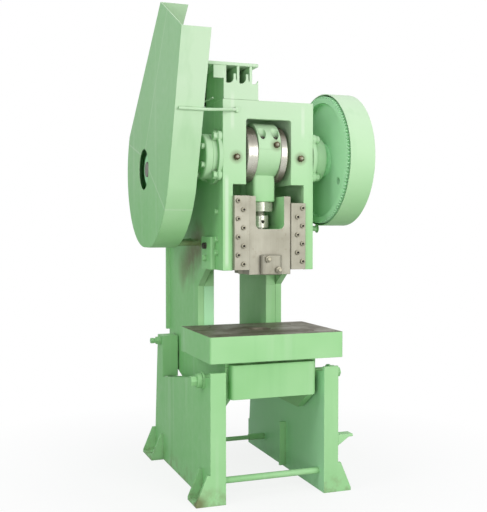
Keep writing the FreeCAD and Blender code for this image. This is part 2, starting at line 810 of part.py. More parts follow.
keep("right_bearing_housing", make_housing(housing_long))
keep("left_bearing_housing", mirrored(make_housing(housing_out)))
keep("crank_bushes", Part.makeCompound([make_bush(housing_long), mirrored(make_bush(housing_out))]))
keep("housing_bolts", Part.makeCompound(make_housing_bolts(frame_half + flange_t, 1)
                                        + make_housing_bolts(frame_half + flange_t, -1)))
keep("crank_end_cover", make_end_cover())
cover_bolts = []
for i in range(cover_bolt_count):
    a = math.radians(cover_bolt_angle + 360.0 * i / cover_bolt_count)
    y = crank_y + cover_bolt_r * math.cos(a)
    z = crank_z + cover_bolt_r * math.sin(a)
    cover_bolts.append(bolt_head(cover_bolt_af, Vec(-cover_out, y, z), -X_AXIS))
keep("cover_bolts", Part.makeCompound(cover_bolts))
keep("crankshaft", make_crankshaft())
keep("stroke_bush", make_eccentric_bush())
rod_lower, rod_cap = make_rod()
cap_bolts, rod_cap = make_cap_bolts(rod_cap)
strap_r = strap_d / 2.0
nipple_high = rod_nipple_lift + nipple_boss_d / 2.0
nipple_seat = crank_y - math.sqrt(strap_r ** 2 - nipple_high ** 2)
rod_cap = rod_cap.cut(rod_y(rod_nipple_x, strap_z + rod_nipple_lift, nipple_boss_d,
                            crank_y - strap_d, nipple_seat))
keep("connecting_rod", rod_lower)
keep("rod_cap", rod_cap)
keep("rod_cap_bolts", Part.makeCompound(cap_bolts))
keep("lock_nut", make_lock_nut())


# ---- slide, screw and gibs --------------------------------------------------
def make_slide():
    """Slide with vee ridges at its sides, an open notch and a ball socket."""
    back = slide_face_y + slide_depth
    ridge_y = (slide_face_y + back) / 2.0
    outline = [(-slide_half, slide_face_y), (slide_half, slide_face_y)]
    outline += [(slide_half, ridge_y - vee_depth), (slide_half + vee_depth, ridge_y)]
    outline += [(slide_half, ridge_y + vee_depth), (slide_half, back), (-slide_half, back)]
    outline += [(-slide_half, ridge_y + vee_depth), (-slide_half - vee_depth, ridge_y)]
    outline += [(-slide_half, ridge_y - vee_depth)]
    slide = plate_xy(outline, slide_bottom, slide_top)
    notch = box(-notch_half, notch_half, slide_face_y, back, notch_z, slide_top)

    def low_corner(edge):
        mid = edge.CenterOfMass
        return along(edge, Y_AXIS) and abs(mid.z - notch_z) < near
    slide = slide.cut(round_edges(notch, notch_round, low_corner))
    ball = Part.makeSphere(ball_d / 2.0 + body_gap, Vec(0, crank_y, ball_z))
    neck = rod_z_axis(0, crank_y, neck_d + 2 * bolt_gap, ball_z, notch_z)
    slide = slide.cut(ball.fuse(neck))
    return slide.cut(rod_z_axis(0, crank_y, tool_hole_d, slide_bottom,
                                slide_bottom + tool_hole_deep)).removeSplitter()


def make_gib(top):
    """Right gib with the vee groove that the slide ridge runs in."""
    back = slide_face_y + slide_depth + body_gap
    ridge_y = slide_face_y + slide_depth / 2.0
    face_x = slide_half + body_gap
    outline = [(face_x, gib_face_y), (gib_out, gib_face_y), (gib_out, back), (face_x, back)]
    outline += [(face_x, ridge_y + vee_depth), (face_x + vee_depth, ridge_y)]
    outline += [(face_x, ridge_y - vee_depth)]
    return plate_xy(outline, gib_bottom, top)


def make_adjusting_screw():
    """Adjusting screw with its ball, neck and wrench collar."""
    ball = Part.makeSphere(ball_d / 2.0, Vec(0, crank_y, ball_z))
    neck = rod_z_axis(0, crank_y, neck_d, ball_z, notch_z + neck_gap)
    collar = rod_z_axis(0, crank_y, collar_d, notch_z + neck_gap, nut_low - collar_drop)
    bore = rod_y(0, (notch_z + neck_gap + nut_low - collar_drop) / 2.0, wrench_hole_d,
                 crank_y - collar_d, crank_y + collar_d)
    top = nut_high + shank_bore_depth - adjust_up - screw_end_gap
    screw = rod_z_axis(0, crank_y, screw_d, nut_low - collar_drop, top)
    return ball.fuse([neck, collar.cut(bore), screw]).removeSplitter()


def make_tool_clamp():
    """Clamp block on the slide face that grips a tool shank."""
    outline = [(-clamp_half, slide_face_y), (clamp_half, slide_face_y)]
    outline += [(clamp_half, slide_face_y - clamp_out + clamp_edge)]
    outline += [(clamp_half - clamp_edge, slide_face_y - clamp_out)]
    outline += [(-clamp_half + clamp_edge, slide_face_y - clamp_out)]
    outline += [(-clamp_half, slide_face_y - clamp_out + clamp_edge)]
    return plate_xy(outline, slide_bottom, slide_bottom + clamp_tall)


def make_gib_screws():
    """Staggered cap screws down the face of both gibs."""
    screws = []
    for side, top, count in ((-1, gib_top, left_screw_count), (1, right_gib_top, right_screw_count)):
        for i in range(count):
            x = gib_screw_x if i % 2 == 0 else gib_screw_x - gib_screw_stagger
            z = top - gib_screw_top - i * gib_screw_pitch
            screws.append(rod_y(side * x, z, gib_screw_d, gib_face_y - gib_screw_h, gib_face_y))
    return screws


keep("slide", make_slide())
keep("right_gib", make_gib(right_gib_top))
keep("left_gib", mirrored(make_gib(gib_top)))
back_y = slide_face_y + slide_depth + body_gap
keep("slide_back_plate", box(-inner_half, inner_half, back_y, back_y + back_plate_t, gib_bottom,
                             gib_top))
keep("gib_screws", Part.makeCompound(make_gib_screws()))
keep("adjusting_screw", make_adjusting_screw())
keep("tool_clamp", make_tool_clamp())
stud_y = slide_face_y - clamp_out
studs = []
for across, up in stud_shares:
    base = Vec(clamp_half * across, stud_y, slide_bottom + clamp_tall * up)
    stud = rod_y(base.x, base.z, stud_d, stud_y - stud_l, stud_y)
    studs.append(stud.fuse(bolt_head(stud_nut_af, base, -Y_AXIS)).removeSplitter())
keep("clamp_studs", Part.makeCompound(studs))
side_screws = []
for z in side_screw_z:
    for sign in (-1, 1):
        base = Vec(sign * frame_half, side_screw_y, z)
        side_screws.append(bolt_head(side_screw_af, base, X_AXIS * sign))
keep("side_screws", Part.makeCompound(side_screws))


# ---- gear train -------------------------------------------------------------
def spur_wheel(teeth, x0, x1, y, z, phase):
    """Spur wheel blank with straight flanked teeth, one tooth centred at phase."""
    pitch_r = module * teeth / 2.0
    tip_r = pitch_r + tip_share * module
    root_r = pitch_r - root_share * module
    half_pitch = tooth_share * math.pi / teeth
    slope = math.tan(math.radians(pressure_angle)) / pitch_r
    half_tip = half_pitch - slope * tip_share * module
    half_root = half_pitch + slope * root_share * module
    corners = []
    for i in range(teeth):
        a = phase + 2.0 * math.pi * i / teeth
        for r, da in ((root_r, -half_root), (tip_r, -half_tip), (tip_r, half_tip),
                      (root_r, half_root)):
            corners.append(Vec(x0, y + r * math.cos(a + da), z + r * math.sin(a + da)))
    wire = Part.makePolygon(corners + [corners[0]])
    return Part.Face(wire).extrude(Vec(x1 - x0, 0, 0))


def make_bull_gear():
    """Cast bull gear: toothed rim, recessed web with round holes, and a hub."""
    x1 = gear_x + gear_face
    wheel = spur_wheel(gear_teeth, gear_x, x1, crank_y, crank_z, mesh_angle)
    inner_r = module * gear_teeth / 2.0 - gear_rim
    middle = (gear_x + x1) / 2.0
    recess = []
    for x0, x2 in ((gear_x, middle - gear_web / 2.0), (middle + gear_web / 2.0, x1)):
        ring = rod_x(crank_y, crank_z, 2 * inner_r, x0, x2)
        recess.append(ring.cut(rod_x(crank_y, crank_z, gear_hub_d, x0, x2)))
    wheel = wheel.cut(recess)
    holes = [rod_x(crank_y, crank_z, gear_bore_d, gear_x, x1)]
    for i in range(gear_hole_count):
        a = math.radians(gear_hole_angle + 360.0 * i / gear_hole_count)
        y = crank_y + gear_hole_r * math.cos(a)
        z = crank_z + gear_hole_r * math.sin(a)
        holes.append(rod_x(y, z, gear_hole_d, gear_x, x1))
    return wheel.cut(holes)


def make_flywheel():
    """Belt flywheel with a grooved rim, thin web and hub, on the left of the back shaft."""
    x0 = -flywheel_in - flywheel_face
    x1 = -flywheel_in
    r = flywheel_d / 2.0
    mid = (x0 + x1) / 2.0
    profile = [(x0, back_shaft_d / 2.0), (x0, flywheel_hub_d / 2.0)]
    profile += [(mid - flywheel_web / 2.0, flywheel_hub_d / 2.0)]
    profile += [(mid - flywheel_web / 2.0, r - flywheel_rim), (x0, r - flywheel_rim), (x0, r)]
    first = mid - groove_pitch * (groove_count - 1) / 2.0
    for i in range(groove_count):
        x = first + i * groove_pitch
        profile += [(x - groove_half, r), (x - groove_low, r - groove_deep)]
        profile += [(x + groove_low, r - groove_deep), (x + groove_half, r)]
    profile += [(x1, r), (x1, r - flywheel_rim), (mid + flywheel_web / 2.0, r - flywheel_rim)]
    profile += [(mid + flywheel_web / 2.0, flywheel_hub_d / 2.0), (x1, flywheel_hub_d / 2.0)]
    profile += [(x1, back_shaft_d / 2.0)]
    return turned(profile, back_shaft_y, back_shaft_z)


def make_back_housing():
    """Flanged bearing housing of the back shaft."""
    inner = back_shaft_d / 2.0 + run_fit
    profile = [(inner_half, inner), (inner_half, back_housing_r), (frame_half, back_housing_r)]
    profile += [(frame_half, back_flange_r), (frame_half + flange_t, back_flange_r)]
    profile += [(frame_half + flange_t, back_housing_r), (housing_out, back_housing_r - back_housing_taper)]
    profile += [(housing_out, inner)]
    return turned(profile, back_shaft_y, back_shaft_z)


mesh_angle = math.atan2(back_shaft_z - crank_z, back_shaft_y - crank_y)
pinion_phase = mesh_angle + math.pi + math.pi / pinion_teeth
keep("bull_gear", make_bull_gear())
collar_x = gear_x + gear_face
collar = rod_x(crank_y, crank_z, gear_collar_d, collar_x, collar_x + collar_w)
keep("gear_collar", collar.cut(rod_x(crank_y, crank_z, gear_bore_d, collar_x,
                                     collar_x + collar_w)))
pinion_x0 = gear_x - pinion_extra / 2.0
pinion_x1 = gear_x + gear_face + pinion_extra / 2.0
pinion = spur_wheel(pinion_teeth, pinion_x0, pinion_x1, back_shaft_y, back_shaft_z, pinion_phase)
keep("pinion", pinion.cut(rod_x(back_shaft_y, back_shaft_z, back_shaft_d, pinion_x0, pinion_x1)))
shaft_left = -flywheel_in - flywheel_face - shaft_tail
keep("back_shaft", rod_x(back_shaft_y, back_shaft_z, back_shaft_d, shaft_left,
                         pinion_x1 + shaft_tail))
keep("flywheel", make_flywheel())
back_housing = make_back_housing()
keep("back_shaft_housings", Part.makeCompound([back_housing, mirrored(back_housing)]))


# ---- guards -----------------------------------------------------------------
def two_circle_outline(r1, r2, x0, x1):
    """Solid over the gear circle and the pinion circle and the band between them."""
    dy = back_shaft_y - crank_y
    dz = back_shaft_z - crank_z
    far = math.hypot(dy, dz)
    lean = math.atan2(dz, dy)
    spread = math.acos((r1 - r2) / far)
    points = []
    for centre, r, sign in (((crank_y, crank_z), r1, 1), ((back_shaft_y, back_shaft_z), r2, 1),
                            ((back_shaft_y, back_shaft_z), r2, -1), ((crank_y, crank_z), r1, -1)):
        a = lean + sign * spread
        points.append((centre[0] + r * math.cos(a), centre[1] + r * math.sin(a)))
    bridge = plate_yz(points, x0, x1)
    big = rod_x(crank_y, crank_z, 2 * r1, x0, x1)
    small = rod_x(back_shaft_y, back_shaft_z, 2 * r2, x0, x1)
    return big.fuse([small, bridge]).removeSplitter()


def standoff_places():
    places = []
    for angle in gear_guard_angles:
        a = math.radians(angle)
        r = gear_guard_r + gear_guard_wall + standoff_d / 2.0 + ear_gap
        places.append((crank_y + r * math.cos(a), crank_z + r * math.sin(a)))
    return places


def make_gear_guard():
    """Drum guard over the bull gear, open to the left, bulged round the pinion."""
    pinion_r = module * pinion_teeth / 2.0 + module + gear_guard_gap
    wall = gear_guard_wall
    outer = two_circle_outline(gear_guard_r + wall, pinion_r + wall, gear_guard_in,
                               gear_guard_out)
    for y, z in standoff_places():
        ear = rod_x(y, z, standoff_d + 2 * ear_lip, gear_guard_in, gear_guard_in + wall)
        outer = outer.fuse(ear)
    inner = two_circle_outline(gear_guard_r, pinion_r, gear_guard_in, gear_guard_out - wall)
    return outer.cut(inner).removeSplitter()


def belt_outline(inset, x0, x1):
    """Leaning teardrop outline of the belt guard, moved inwards by inset."""
    low = back_shaft_z - belt_guard_back_r + inset
    r = belt_guard_back_r - inset
    start = math.radians(belt_arc_angle)
    middle = start - math.pi / 3.0
    slant = inset * math.sqrt(0.5)
    rear_low = Vec(x0, belt_arc_y, low)
    rear_mid = Vec(x0, belt_arc_y + r * math.cos(middle), back_shaft_z + r * math.sin(middle))
    rear_high = Vec(x0, belt_arc_y + r * math.cos(start), back_shaft_z + r * math.sin(start))
    top_rear = Vec(x0, belt_top_rear_y - inset, belt_top_z)
    top_front = Vec(x0, belt_top_front_y + inset, belt_front_z)
    front_high = Vec(x0, belt_front_y + inset, belt_front_low_z)
    front_mid = Vec(x0, belt_front_mid_y + slant, belt_front_mid_z + slant)
    front_low = Vec(x0, belt_front_low_y, low)
    edges = [Part.LineSegment(top_rear, rear_high).toShape()]
    edges.append(Part.Arc(rear_high, rear_mid, rear_low).toShape())
    edges.append(Part.LineSegment(rear_low, front_low).toShape())
    edges.append(Part.Arc(front_low, front_mid, front_high).toShape())
    edges.append(Part.LineSegment(front_high, top_front).toShape())
    edges.append(Part.LineSegment(top_front, top_rear).toShape())
    return Part.Face(Part.Wire(edges)).extrude(Vec(x1 - x0, 0, 0))


def belt_ears():
    """Places of the ears that carry the belt guard on the frame."""
    low = back_shaft_z - belt_guard_back_r + belt_wall + standoff_d / 2.0 + ear_gap
    a = math.radians(belt_ear_angle)
    r = belt_guard_back_r - belt_wall - standoff_d / 2.0 - ear_gap
    rear = (belt_arc_y + r * math.cos(a), back_shaft_z + r * math.sin(a))
    return [(belt_front_low_y, low), (belt_arc_y + belt_ear_back, low + belt_ear_rise), rear]


def make_belt_guard():
    """Leaning belt guard: an outer sheet with a hub hole and a band round its edge."""
    outer = belt_outline(0.0, -belt_guard_out, -belt_guard_in)
    inner = belt_outline(belt_wall, -belt_guard_out + belt_wall, -belt_guard_in)
    guard = outer.cut(inner)
    front = belt_top_front_y + belt_wall
    rear = belt_top_rear_y - belt_wall
    corners = [(front, belt_front_z - belt_wall), (rear, belt_top_z - belt_wall)]
    corners += [(rear, belt_top_z + belt_mouth), (front, belt_front_z + belt_mouth)]
    mouth = plate_yz(corners, -belt_guard_out + belt_wall, -belt_guard_in)
    guard = guard.cut(mouth)
    for y, z in belt_ears():
        guard = guard.fuse(rod_x(y, z, standoff_d + 2 * ear_lip, -belt_guard_in - belt_wall,
                                 -belt_guard_in))
    guard = guard.common(outer)
    hole = rod_x(back_shaft_y, back_shaft_z, belt_hole_d, -belt_guard_out,
                 -belt_guard_out + belt_wall)
    return guard.cut(hole).removeSplitter()


keep("gear_guard", make_gear_guard())
keep("gear_guard_studs", Part.makeCompound([rod_x(y, z, standoff_d, frame_half, gear_guard_in)
                                            for y, z in standoff_places()]))
keep("belt_guard", make_belt_guard())
keep("belt_guard_studs", Part.makeCompound([rod_x(y, z, standoff_d, -belt_guard_in, -frame_half)
                                            for y, z in belt_ears()]))


# ---- small fittings ---------------------------------------------------------
def nipple(x, y, z):
    """Oil nipple pointing to the operator: boss, hexagon and ball end."""
    boss = rod_y(x, z, nipple_boss_d, y - nipple_boss_l, y)
    hexa = hexagon(nipple_af, nipple_hex_l, Vec(x, y - nipple_boss_l, z), -Y_AXIS)
    tip = Vec(x, y - nipple_boss_l - nipple_hex_l, z)
    end = Part.makeCone(nipple_base_r, nipple_end_r, nipple_hex_l, tip, -Y_AXIS)
    return boss.fuse([hexa, end]).removeSplitter()


keep("oil_nipples", Part.makeCompound([nipple(-nipple_x, head_front, nipple_z),
                                       nipple(nipple_x, head_front, nipple_z)]))
keep("rod_nipple", nipple(rod_nipple_x, nipple_seat, strap_z + rod_nipple_lift))
bracket = box(-frame_half - bracket_out, -frame_half, bracket_y0, bracket_y1, bracket_z0,
              bracket_z1)
outer_edges = [e for e in bracket.Edges if along(e, Z_AXIS)
               and e.CenterOfMass.x < -frame_half - near]
keep("left_bracket", bracket.makeChamfer(bracket_edge, outer_edges))
high_base = Vec(-frame_half - bracket_out, (bracket_y0 + bracket_y1) / 2.0,
                bracket_z1 - bracket_bolt_drop)
low_base = high_base - Z_AXIS * bracket_bolt_pitch
keep("bracket_bolts", Part.makeCompound([bolt_head(bracket_bolt_af, high_base, -X_AXIS),
                                         bolt_head(bracket_bolt_af, low_base, -X_AXIS)]))

front_lean = (belt_front_z - stay_z) / (belt_front_z - belt_front_low_z)
guard_y = belt_top_front_y + front_lean * (belt_front_y - belt_top_front_y)
stay_front_y = guard_y - stay_d / 2.0 - stay_gap
stay_a = Vec(-belt_guard_out + stay_tail, stay_front_y, stay_z)
stay_bend = Vec(-belt_guard_in + stay_tail, stay_front_y, stay_z)
stay_b = Vec(-stay_end, head_front - stay_eye_gap - stay_d / 2.0, stay_z + stay_rise)
along_guard = stay_bend - stay_a
to_head = stay_b - stay_bend
stay = Part.makeCylinder(stay_d / 2.0, along_guard.Length, stay_a, along_guard)
stay = stay.fuse(Part.makeSphere(stay_d / 2.0, stay_bend))
stay = stay.fuse(Part.makeCylinder(stay_d / 2.0, to_head.Length, stay_bend, to_head))
eye_b = rod_y(stay_b.x, stay_b.z, stay_eye_d, head_front - stay_d - stay_eye_gap, head_front)
keep("guard_stay", stay.fuse(eye_b).removeSplitter())


# ---- write ------------------------------------------------------------------
os.makedirs("parts", exist_ok=True)
for name, shape in PARTS.items():
    moved = shape.copy()
    moved.translate(ORIGIN)
    moved.exportStep("parts/" + name + ".step")
print(len(PARTS), "nodes written")
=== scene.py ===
import json
import math

import bmesh
import bpy
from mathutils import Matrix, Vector


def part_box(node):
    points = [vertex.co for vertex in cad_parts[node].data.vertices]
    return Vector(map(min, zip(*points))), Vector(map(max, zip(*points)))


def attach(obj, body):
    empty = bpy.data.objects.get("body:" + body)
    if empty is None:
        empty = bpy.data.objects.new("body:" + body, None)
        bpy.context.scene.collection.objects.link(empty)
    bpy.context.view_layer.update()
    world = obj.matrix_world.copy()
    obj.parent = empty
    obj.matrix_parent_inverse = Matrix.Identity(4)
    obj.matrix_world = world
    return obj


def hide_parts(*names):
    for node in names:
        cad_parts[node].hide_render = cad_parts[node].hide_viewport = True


# Inclinable geared C-frame stamping press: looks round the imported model.
# Metres. X runs to the operator's right, Y to the back, Z up.

MM = 0.001
FRONT = Vector((0.0, -1.0, 0.0))
UP = Vector((0.0, 0.0, 1.0))

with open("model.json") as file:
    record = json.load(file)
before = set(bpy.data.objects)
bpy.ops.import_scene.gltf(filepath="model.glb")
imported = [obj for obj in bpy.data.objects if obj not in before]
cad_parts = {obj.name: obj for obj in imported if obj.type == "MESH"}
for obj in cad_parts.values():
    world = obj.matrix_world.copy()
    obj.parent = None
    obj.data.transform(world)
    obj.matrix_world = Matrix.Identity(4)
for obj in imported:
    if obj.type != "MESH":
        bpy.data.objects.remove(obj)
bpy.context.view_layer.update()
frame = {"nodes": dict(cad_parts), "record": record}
NODES = frame["nodes"]

# ---- places taken from the frame --------------------------------------------
MID_X = sum(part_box("table")[i].x for i in (0, 1)) / 2
CRANK_Y = sum(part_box("crank_end_cover")[i].y for i in (0, 1)) / 2
CRANK_Z = sum(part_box("crank_end_cover")[i].z for i in (0, 1)) / 2
TABLE_LOW, TABLE_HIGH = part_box("table")
HEAD_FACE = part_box("head_front_plate")[0].y


# ---- node graph helpers -----------------------------------------------------
class Graph:
    """A material's node tree with short calls for the nodes used here."""

    def __init__(self, name):
        self.mat = bpy.data.materials.new(name)
        self.mat.use_nodes = True
        self.tree = self.mat.node_tree
        self.shader = self.tree.nodes["Principled BSDF"]
        coord = self.tree.nodes.new("ShaderNodeTexCoord")
        self.place = coord.outputs["Object"]

    def node(self, kind, **values):
        made = self.tree.nodes.new(kind)
        for key, value in values.items():
            setattr(made, key, value)
        return made

    def join(self, source, target):
        if isinstance(source, (int, float, tuple)):
            target.default_value = source
        else:
            self.tree.links.new(source, target)

    def scaled(self, scale):
        """The object's coordinates, stretched by a factor for each axis."""
        made = self.node("ShaderNodeMapping")
        self.join(self.place, made.inputs["Vector"])
        made.inputs["Scale"].default_value = scale
        return made.outputs["Vector"]

    def noise(self, scale, detail=4.0, roughness=0.55, vector=None):
        made = self.node("ShaderNodeTexNoise")
        self.join(vector or self.place, made.inputs["Vector"])
        made.inputs["Scale"].default_value = scale
        made.inputs["Detail"].default_value = detail
        made.inputs["Roughness"].default_value = roughness
        return made.outputs["Fac"]

    def ramp(self, source, low, high, start=0.0, end=1.0):
        """Maps low..high of the source to start..end, held at both ends."""
        made = self.node("ShaderNodeMapRange", clamp=True)
        self.join(source, made.inputs["Value"])
        made.inputs["From Min"].default_value = low
        made.inputs["From Max"].default_value = high
        made.inputs["To Min"].default_value = start
        made.inputs["To Max"].default_value = end
        return made.outputs["Result"]

    def math(self, operation, first, second=0.0):
        made = self.node("ShaderNodeMath", operation=operation)
        self.join(first, made.inputs[0])
        self.join(second, made.inputs[1])
        return made.outputs[0]

    def mix(self, first, second, share):
        """Blends two colours by share."""
        made = self.node("ShaderNodeMix", data_type="RGBA")
        self.join(share, made.inputs["Factor"])
        self.join(first, made.inputs["A"])
        self.join(second, made.inputs["B"])
        return made.outputs["Result"]

    def along(self, axis):
        """The object's coordinate along X, Y or Z in metres."""
        made = self.node("ShaderNodeSeparateXYZ")
        self.join(self.place, made.inputs["Vector"])
        return made.outputs[axis]

    def agreement(self, way):
        """How far a direction agrees with the face's normal: 1 when they are the same."""
        hard = self.node("ShaderNodeNewGeometry")
        dot = self.node("ShaderNodeVectorMath", operation="DOT_PRODUCT")
        self.join(hard.outputs["Normal"], dot.inputs[0])
        self.join(way, dot.inputs[1])
        return dot.outputs["Value"]

    def edges(self, width):
        """Near 1 on sharp outer edges and 0 on flats."""
        return self.ramp(self.agreement(self.rounded(width)), 0.99, 0.75)

    def corners(self, distance):
        """Near 1 deep in corners and 0 in the open, by ambient occlusion: the mask of painted shade
        in corners.
        """
        made = self.node("ShaderNodeAmbientOcclusion", samples=8)
        made.inputs["Distance"].default_value = distance
        return self.ramp(made.outputs["AO"], 0.75, 0.25)

    def facing(self, way):
        """1 on faces that look the given way and 0 on the rest."""
        return self.ramp(self.agreement(way), 0.5, 0.95)

    def patch(self, middle, reach):
        """A ragged spot round a place, 1 in its middle."""
        away = self.node("ShaderNodeVectorMath", operation="DISTANCE")
        self.join(self.place, away.inputs[0])
        away.inputs[1].default_value = middle
        ragged = self.ramp(self.noise(8.0, 4.0), 0.22, 0.50)
        return self.math("MULTIPLY", self.ramp(away.outputs["Value"], reach, reach * 0.3), ragged)

    def bumps(self, source, depth, strength, normal=None):
        made = self.node("ShaderNodeBump")
        made.inputs["Strength"].default_value = strength
        made.inputs["Distance"].default_value = depth
        self.join(source, made.inputs["Height"])
        if normal is not None:
            self.join(normal, made.inputs["Normal"])
        return made.outputs["Normal"]

    def rounded(self, radius):
        made = self.node("ShaderNodeBevel", samples=6)
        made.inputs["Radius"].default_value = radius
        return made.outputs["Normal"]

    def finish(self, colour, roughness, normal=None, metallic=0.0, specular=0.5):
        self.join(colour, self.shader.inputs["Base Color"])
        self.join(roughness, self.shader.inputs["Roughness"])
        self.shader.inputs["Metallic"].default_value = metallic
        self.shader.inputs["Specular IOR Level"].default_value = specular
        if normal is not None:
            self.join(normal, self.shader.inputs["Normal"])
        return self.mat


def srgb(red, green, blue):
    """Linear colour of a display colour given in 0..255."""
    def linear(value):
        value = value / 255
        return value / 12.92 if value <= 0.04045 else ((value + 0.055) / 1.055) ** 2.4
    return (linear(red), linear(green), linear(blue), 1.0)


def dimmed(colour, factor):
    """A colour made darker, or lighter with a factor above 1."""
    return tuple(min(1.0, channel * factor) for channel in colour[:3]) + (1.0,)


# ---- materials --------------------------------------------------------------
PAINT = srgb(158, 211, 150)
PAINT_PALE = srgb(176, 221, 168)
PAINT_DEEP = srgb(128, 190, 124)
# Palest enamel: the painted light towards the top and in the paler paint, the fold highlights and
# the bleached streaks.
PAINT_HEAD = srgb(206, 229, 200)
PAINT_SIDE_SHADE = srgb(122, 196, 118)
# Pale green of the paler paint, which is painted light on shaded faces.
PAINT_LIGHTENED = srgb(178, 240, 186)
GRIME_AND_SHADE = srgb(84, 100, 64)
OIL_AND_SHADE = srgb(52, 46, 36)
SHADE_BLACK = srgb(30, 32, 26)
PRIMER = srgb(120, 92, 66)
RUST_BROWN = srgb(112, 100, 66)
STREAK_HIGHLIGHT = srgb(222, 236, 216)
TABLE_STAIN = srgb(92, 84, 68)
TABLE_IRON = srgb(140, 136, 120)
TABLE_RUB = srgb(186, 188, 178)
BARE_STEEL = srgb(162, 159, 145)
STEEL_SPOT = srgb(128, 116, 98)
STEEL_PATCH = srgb(140, 132, 112)
POLISH = srgb(206, 204, 194)
POLISH_DULL = srgb(158, 150, 134)
POLISH_RIM_SHADE = srgb(84, 70, 56)
RUBBED_EDGE = srgb(186, 182, 170)
# Painted highlights, pale upright streaks on the face of the head: middle X, lowest and highest Z.
HIGHLIGHT_STREAKS = ((-0.152, 1.585, 1.760), (0.178, 1.560, 1.712), (-0.178, 0.99, 1.40))
STREAK_HALF = 0.011             # half a streak's width
STREAK_FADE = 0.03              # the length over which it fades at each end
# Brown, oily spots on the enamel: middle, reach and share.
STAINS = (
    ((-0.216, 0.02, 1.10), 0.13, 0.75),
    ((-0.216, 0.13, 1.03), 0.14, 0.75),
    ((-0.216, 0.25, 0.96), 0.13, 0.50),
    ((-0.134, -0.340, 1.474), 0.034, 0.60),
    ((0.166, -0.340, 1.474), 0.034, 0.60),
    ((0.046, -0.352, 1.530), 0.034, 0.60),
    ((-0.335, -0.428, 0.015), 0.050, 0.75),
)
HEAD_LIGHT_FADE = (1.15, 1.75)        # heights between which the enamel is painted paler towards the top, as painted light from above
SPLASH_TOP = 0.10               # how high the floor dirt reaches on the feet
PAINT_GLOSS = 0.08
SIDE_SHADE_SHARE = 0.60               # how much painted shade, a deeper green, faces that look left take
SIDE_SHADE_FADE = (-0.12, 0.10)       # X between which that painted shade fades out
# share of that pale green in the paler paint
LIGHTENED_SHARE = 0.80


def highlight_streak(g, middle_x, low_z, high_z):
    """A painted highlight: a pale upright band on the face of the head, soft at its edges."""
    aside = g.math("ABSOLUTE", g.math("SUBTRACT", g.along("X"), middle_x))
    across = g.ramp(aside, STREAK_HALF, STREAK_HALF * 0.4)
    above = g.ramp(g.along("Z"), low_z, low_z + STREAK_FADE)
    below = g.ramp(g.along("Z"), high_z, high_z - STREAK_FADE)
    front = g.ramp(g.along("Y"), HEAD_FACE + 0.02, HEAD_FACE + 0.01)
    band = g.math("MULTIPLY", g.math("MULTIPLY", above, below), front)
    return g.math("MULTIPLY", band, across)


# light_lift above 0 paints the whole surface paler, as painted light.
def paint_layers(g, wear, grime_and_shade, light_lift=0.0):
    """Colour, roughness and normal of brushed machine enamel with runs, dirt and rubs, and with
    painted light and shade: paler towards the top, deeper on faces that look left, darker in
    corners, with pale highlight streaks on the head.
    """
    broad = g.ramp(g.noise(2.2, 3.0), 0.35, 0.68, light_lift, 1.0)
    colour = g.mix(PAINT, PAINT_PALE, broad)
    # Painted light: the enamel turns paler towards the top, where the light falls from above.
    colour = g.mix(colour, PAINT_HEAD, g.ramp(g.along("Z"), *HEAD_LIGHT_FADE, light_lift, 0.95))
    # Painted shade: faces that look left, away from the key lamp, take a deeper green.
    deeper = g.ramp(g.along("X"), *SIDE_SHADE_FADE, SIDE_SHADE_SHARE, 0.0)
    colour = g.mix(colour, PAINT_SIDE_SHADE, g.math("MULTIPLY", g.facing((-1.0, 0.0, 0.0)), deeper))
    streaks = g.ramp(g.noise(9.0, 3.0, vector=g.scaled((1.0, 1.0, 0.08))), 0.55, 0.78)
    colour = g.mix(colour, PAINT_DEEP, g.math("MULTIPLY", streaks, 0.30))
    bleached = g.ramp(g.noise(15.0, 2.0, vector=g.scaled((1.0, 1.0, 0.05))), 0.60, 0.80)
    colour = g.mix(colour, PAINT_HEAD, g.math("MULTIPLY", bleached, 0.30))
    speck = g.ramp(g.noise(160.0, 2.0), 0.70, 0.80)
    colour = g.mix(colour, PAINT_DEEP, g.math("MULTIPLY", speck, 0.35))
    # Dirt and painted shade: corners darkened by ambient occlusion, broken up by noise.
    dirt_and_shade = g.math("MULTIPLY", g.corners(0.035), g.ramp(g.noise(14.0, 4.0), 0.35, 0.65))
    colour = g.mix(colour, GRIME_AND_SHADE, g.math("MULTIPLY", dirt_and_shade, grime_and_shade))
    low = g.ramp(g.along("Z"), SPLASH_TOP, 0.0)
    splash = g.math("MULTIPLY", low, g.ramp(g.noise(24.0, 5.0), 0.45, 0.70))
    colour = g.mix(colour, PRIMER, g.math("MULTIPLY", splash, 0.55))
    rub = g.math("MULTIPLY", g.edges(0.004), g.ramp(g.noise(26.0, 5.0), 0.56, 0.66))
    colour = g.mix(colour, GRIME_AND_SHADE, g.math("MULTIPLY", rub, wear))
    # Painted highlights: pale upright streaks on the face of the head.
    for streak in HIGHLIGHT_STREAKS:
        colour = g.mix(colour, STREAK_HIGHLIGHT, g.math("MULTIPLY", highlight_streak(g, *streak), 0.55))
    for middle, reach, share in STAINS:
        colour = g.mix(colour, RUST_BROWN, g.math("MULTIPLY", g.patch(middle, reach), share))
    rough = g.ramp(g.noise(30.0, 4.0), 0.3, 0.7, 0.36, 0.52)
    skin = g.bumps(g.noise(120.0, 3.0), 0.0012, 0.20, g.rounded(0.0025))
    return colour, rough, g.bumps(g.noise(6.0, 2.0), 0.010, 0.10, skin)


def machine_paint(name):
    """The press's own enamel."""
    g = Graph(name)
    colour, rough, normal = paint_layers(g, 0.5, 0.6)
    return g.finish(colour, rough, normal, specular=PAINT_GLOSS)


def lightened_paint(name):
    """A paler copy of the enamel, painted light for faces the lamps leave in shade, as the gear's
    web inside its guard.
    """
    g = Graph(name)
    colour, rough, normal = paint_layers(g, 0.35, 0.12, 1.0)
    return g.finish(g.mix(colour, PAINT_LIGHTENED, LIGHTENED_SHARE), rough, normal, specular=PAINT_GLOSS)


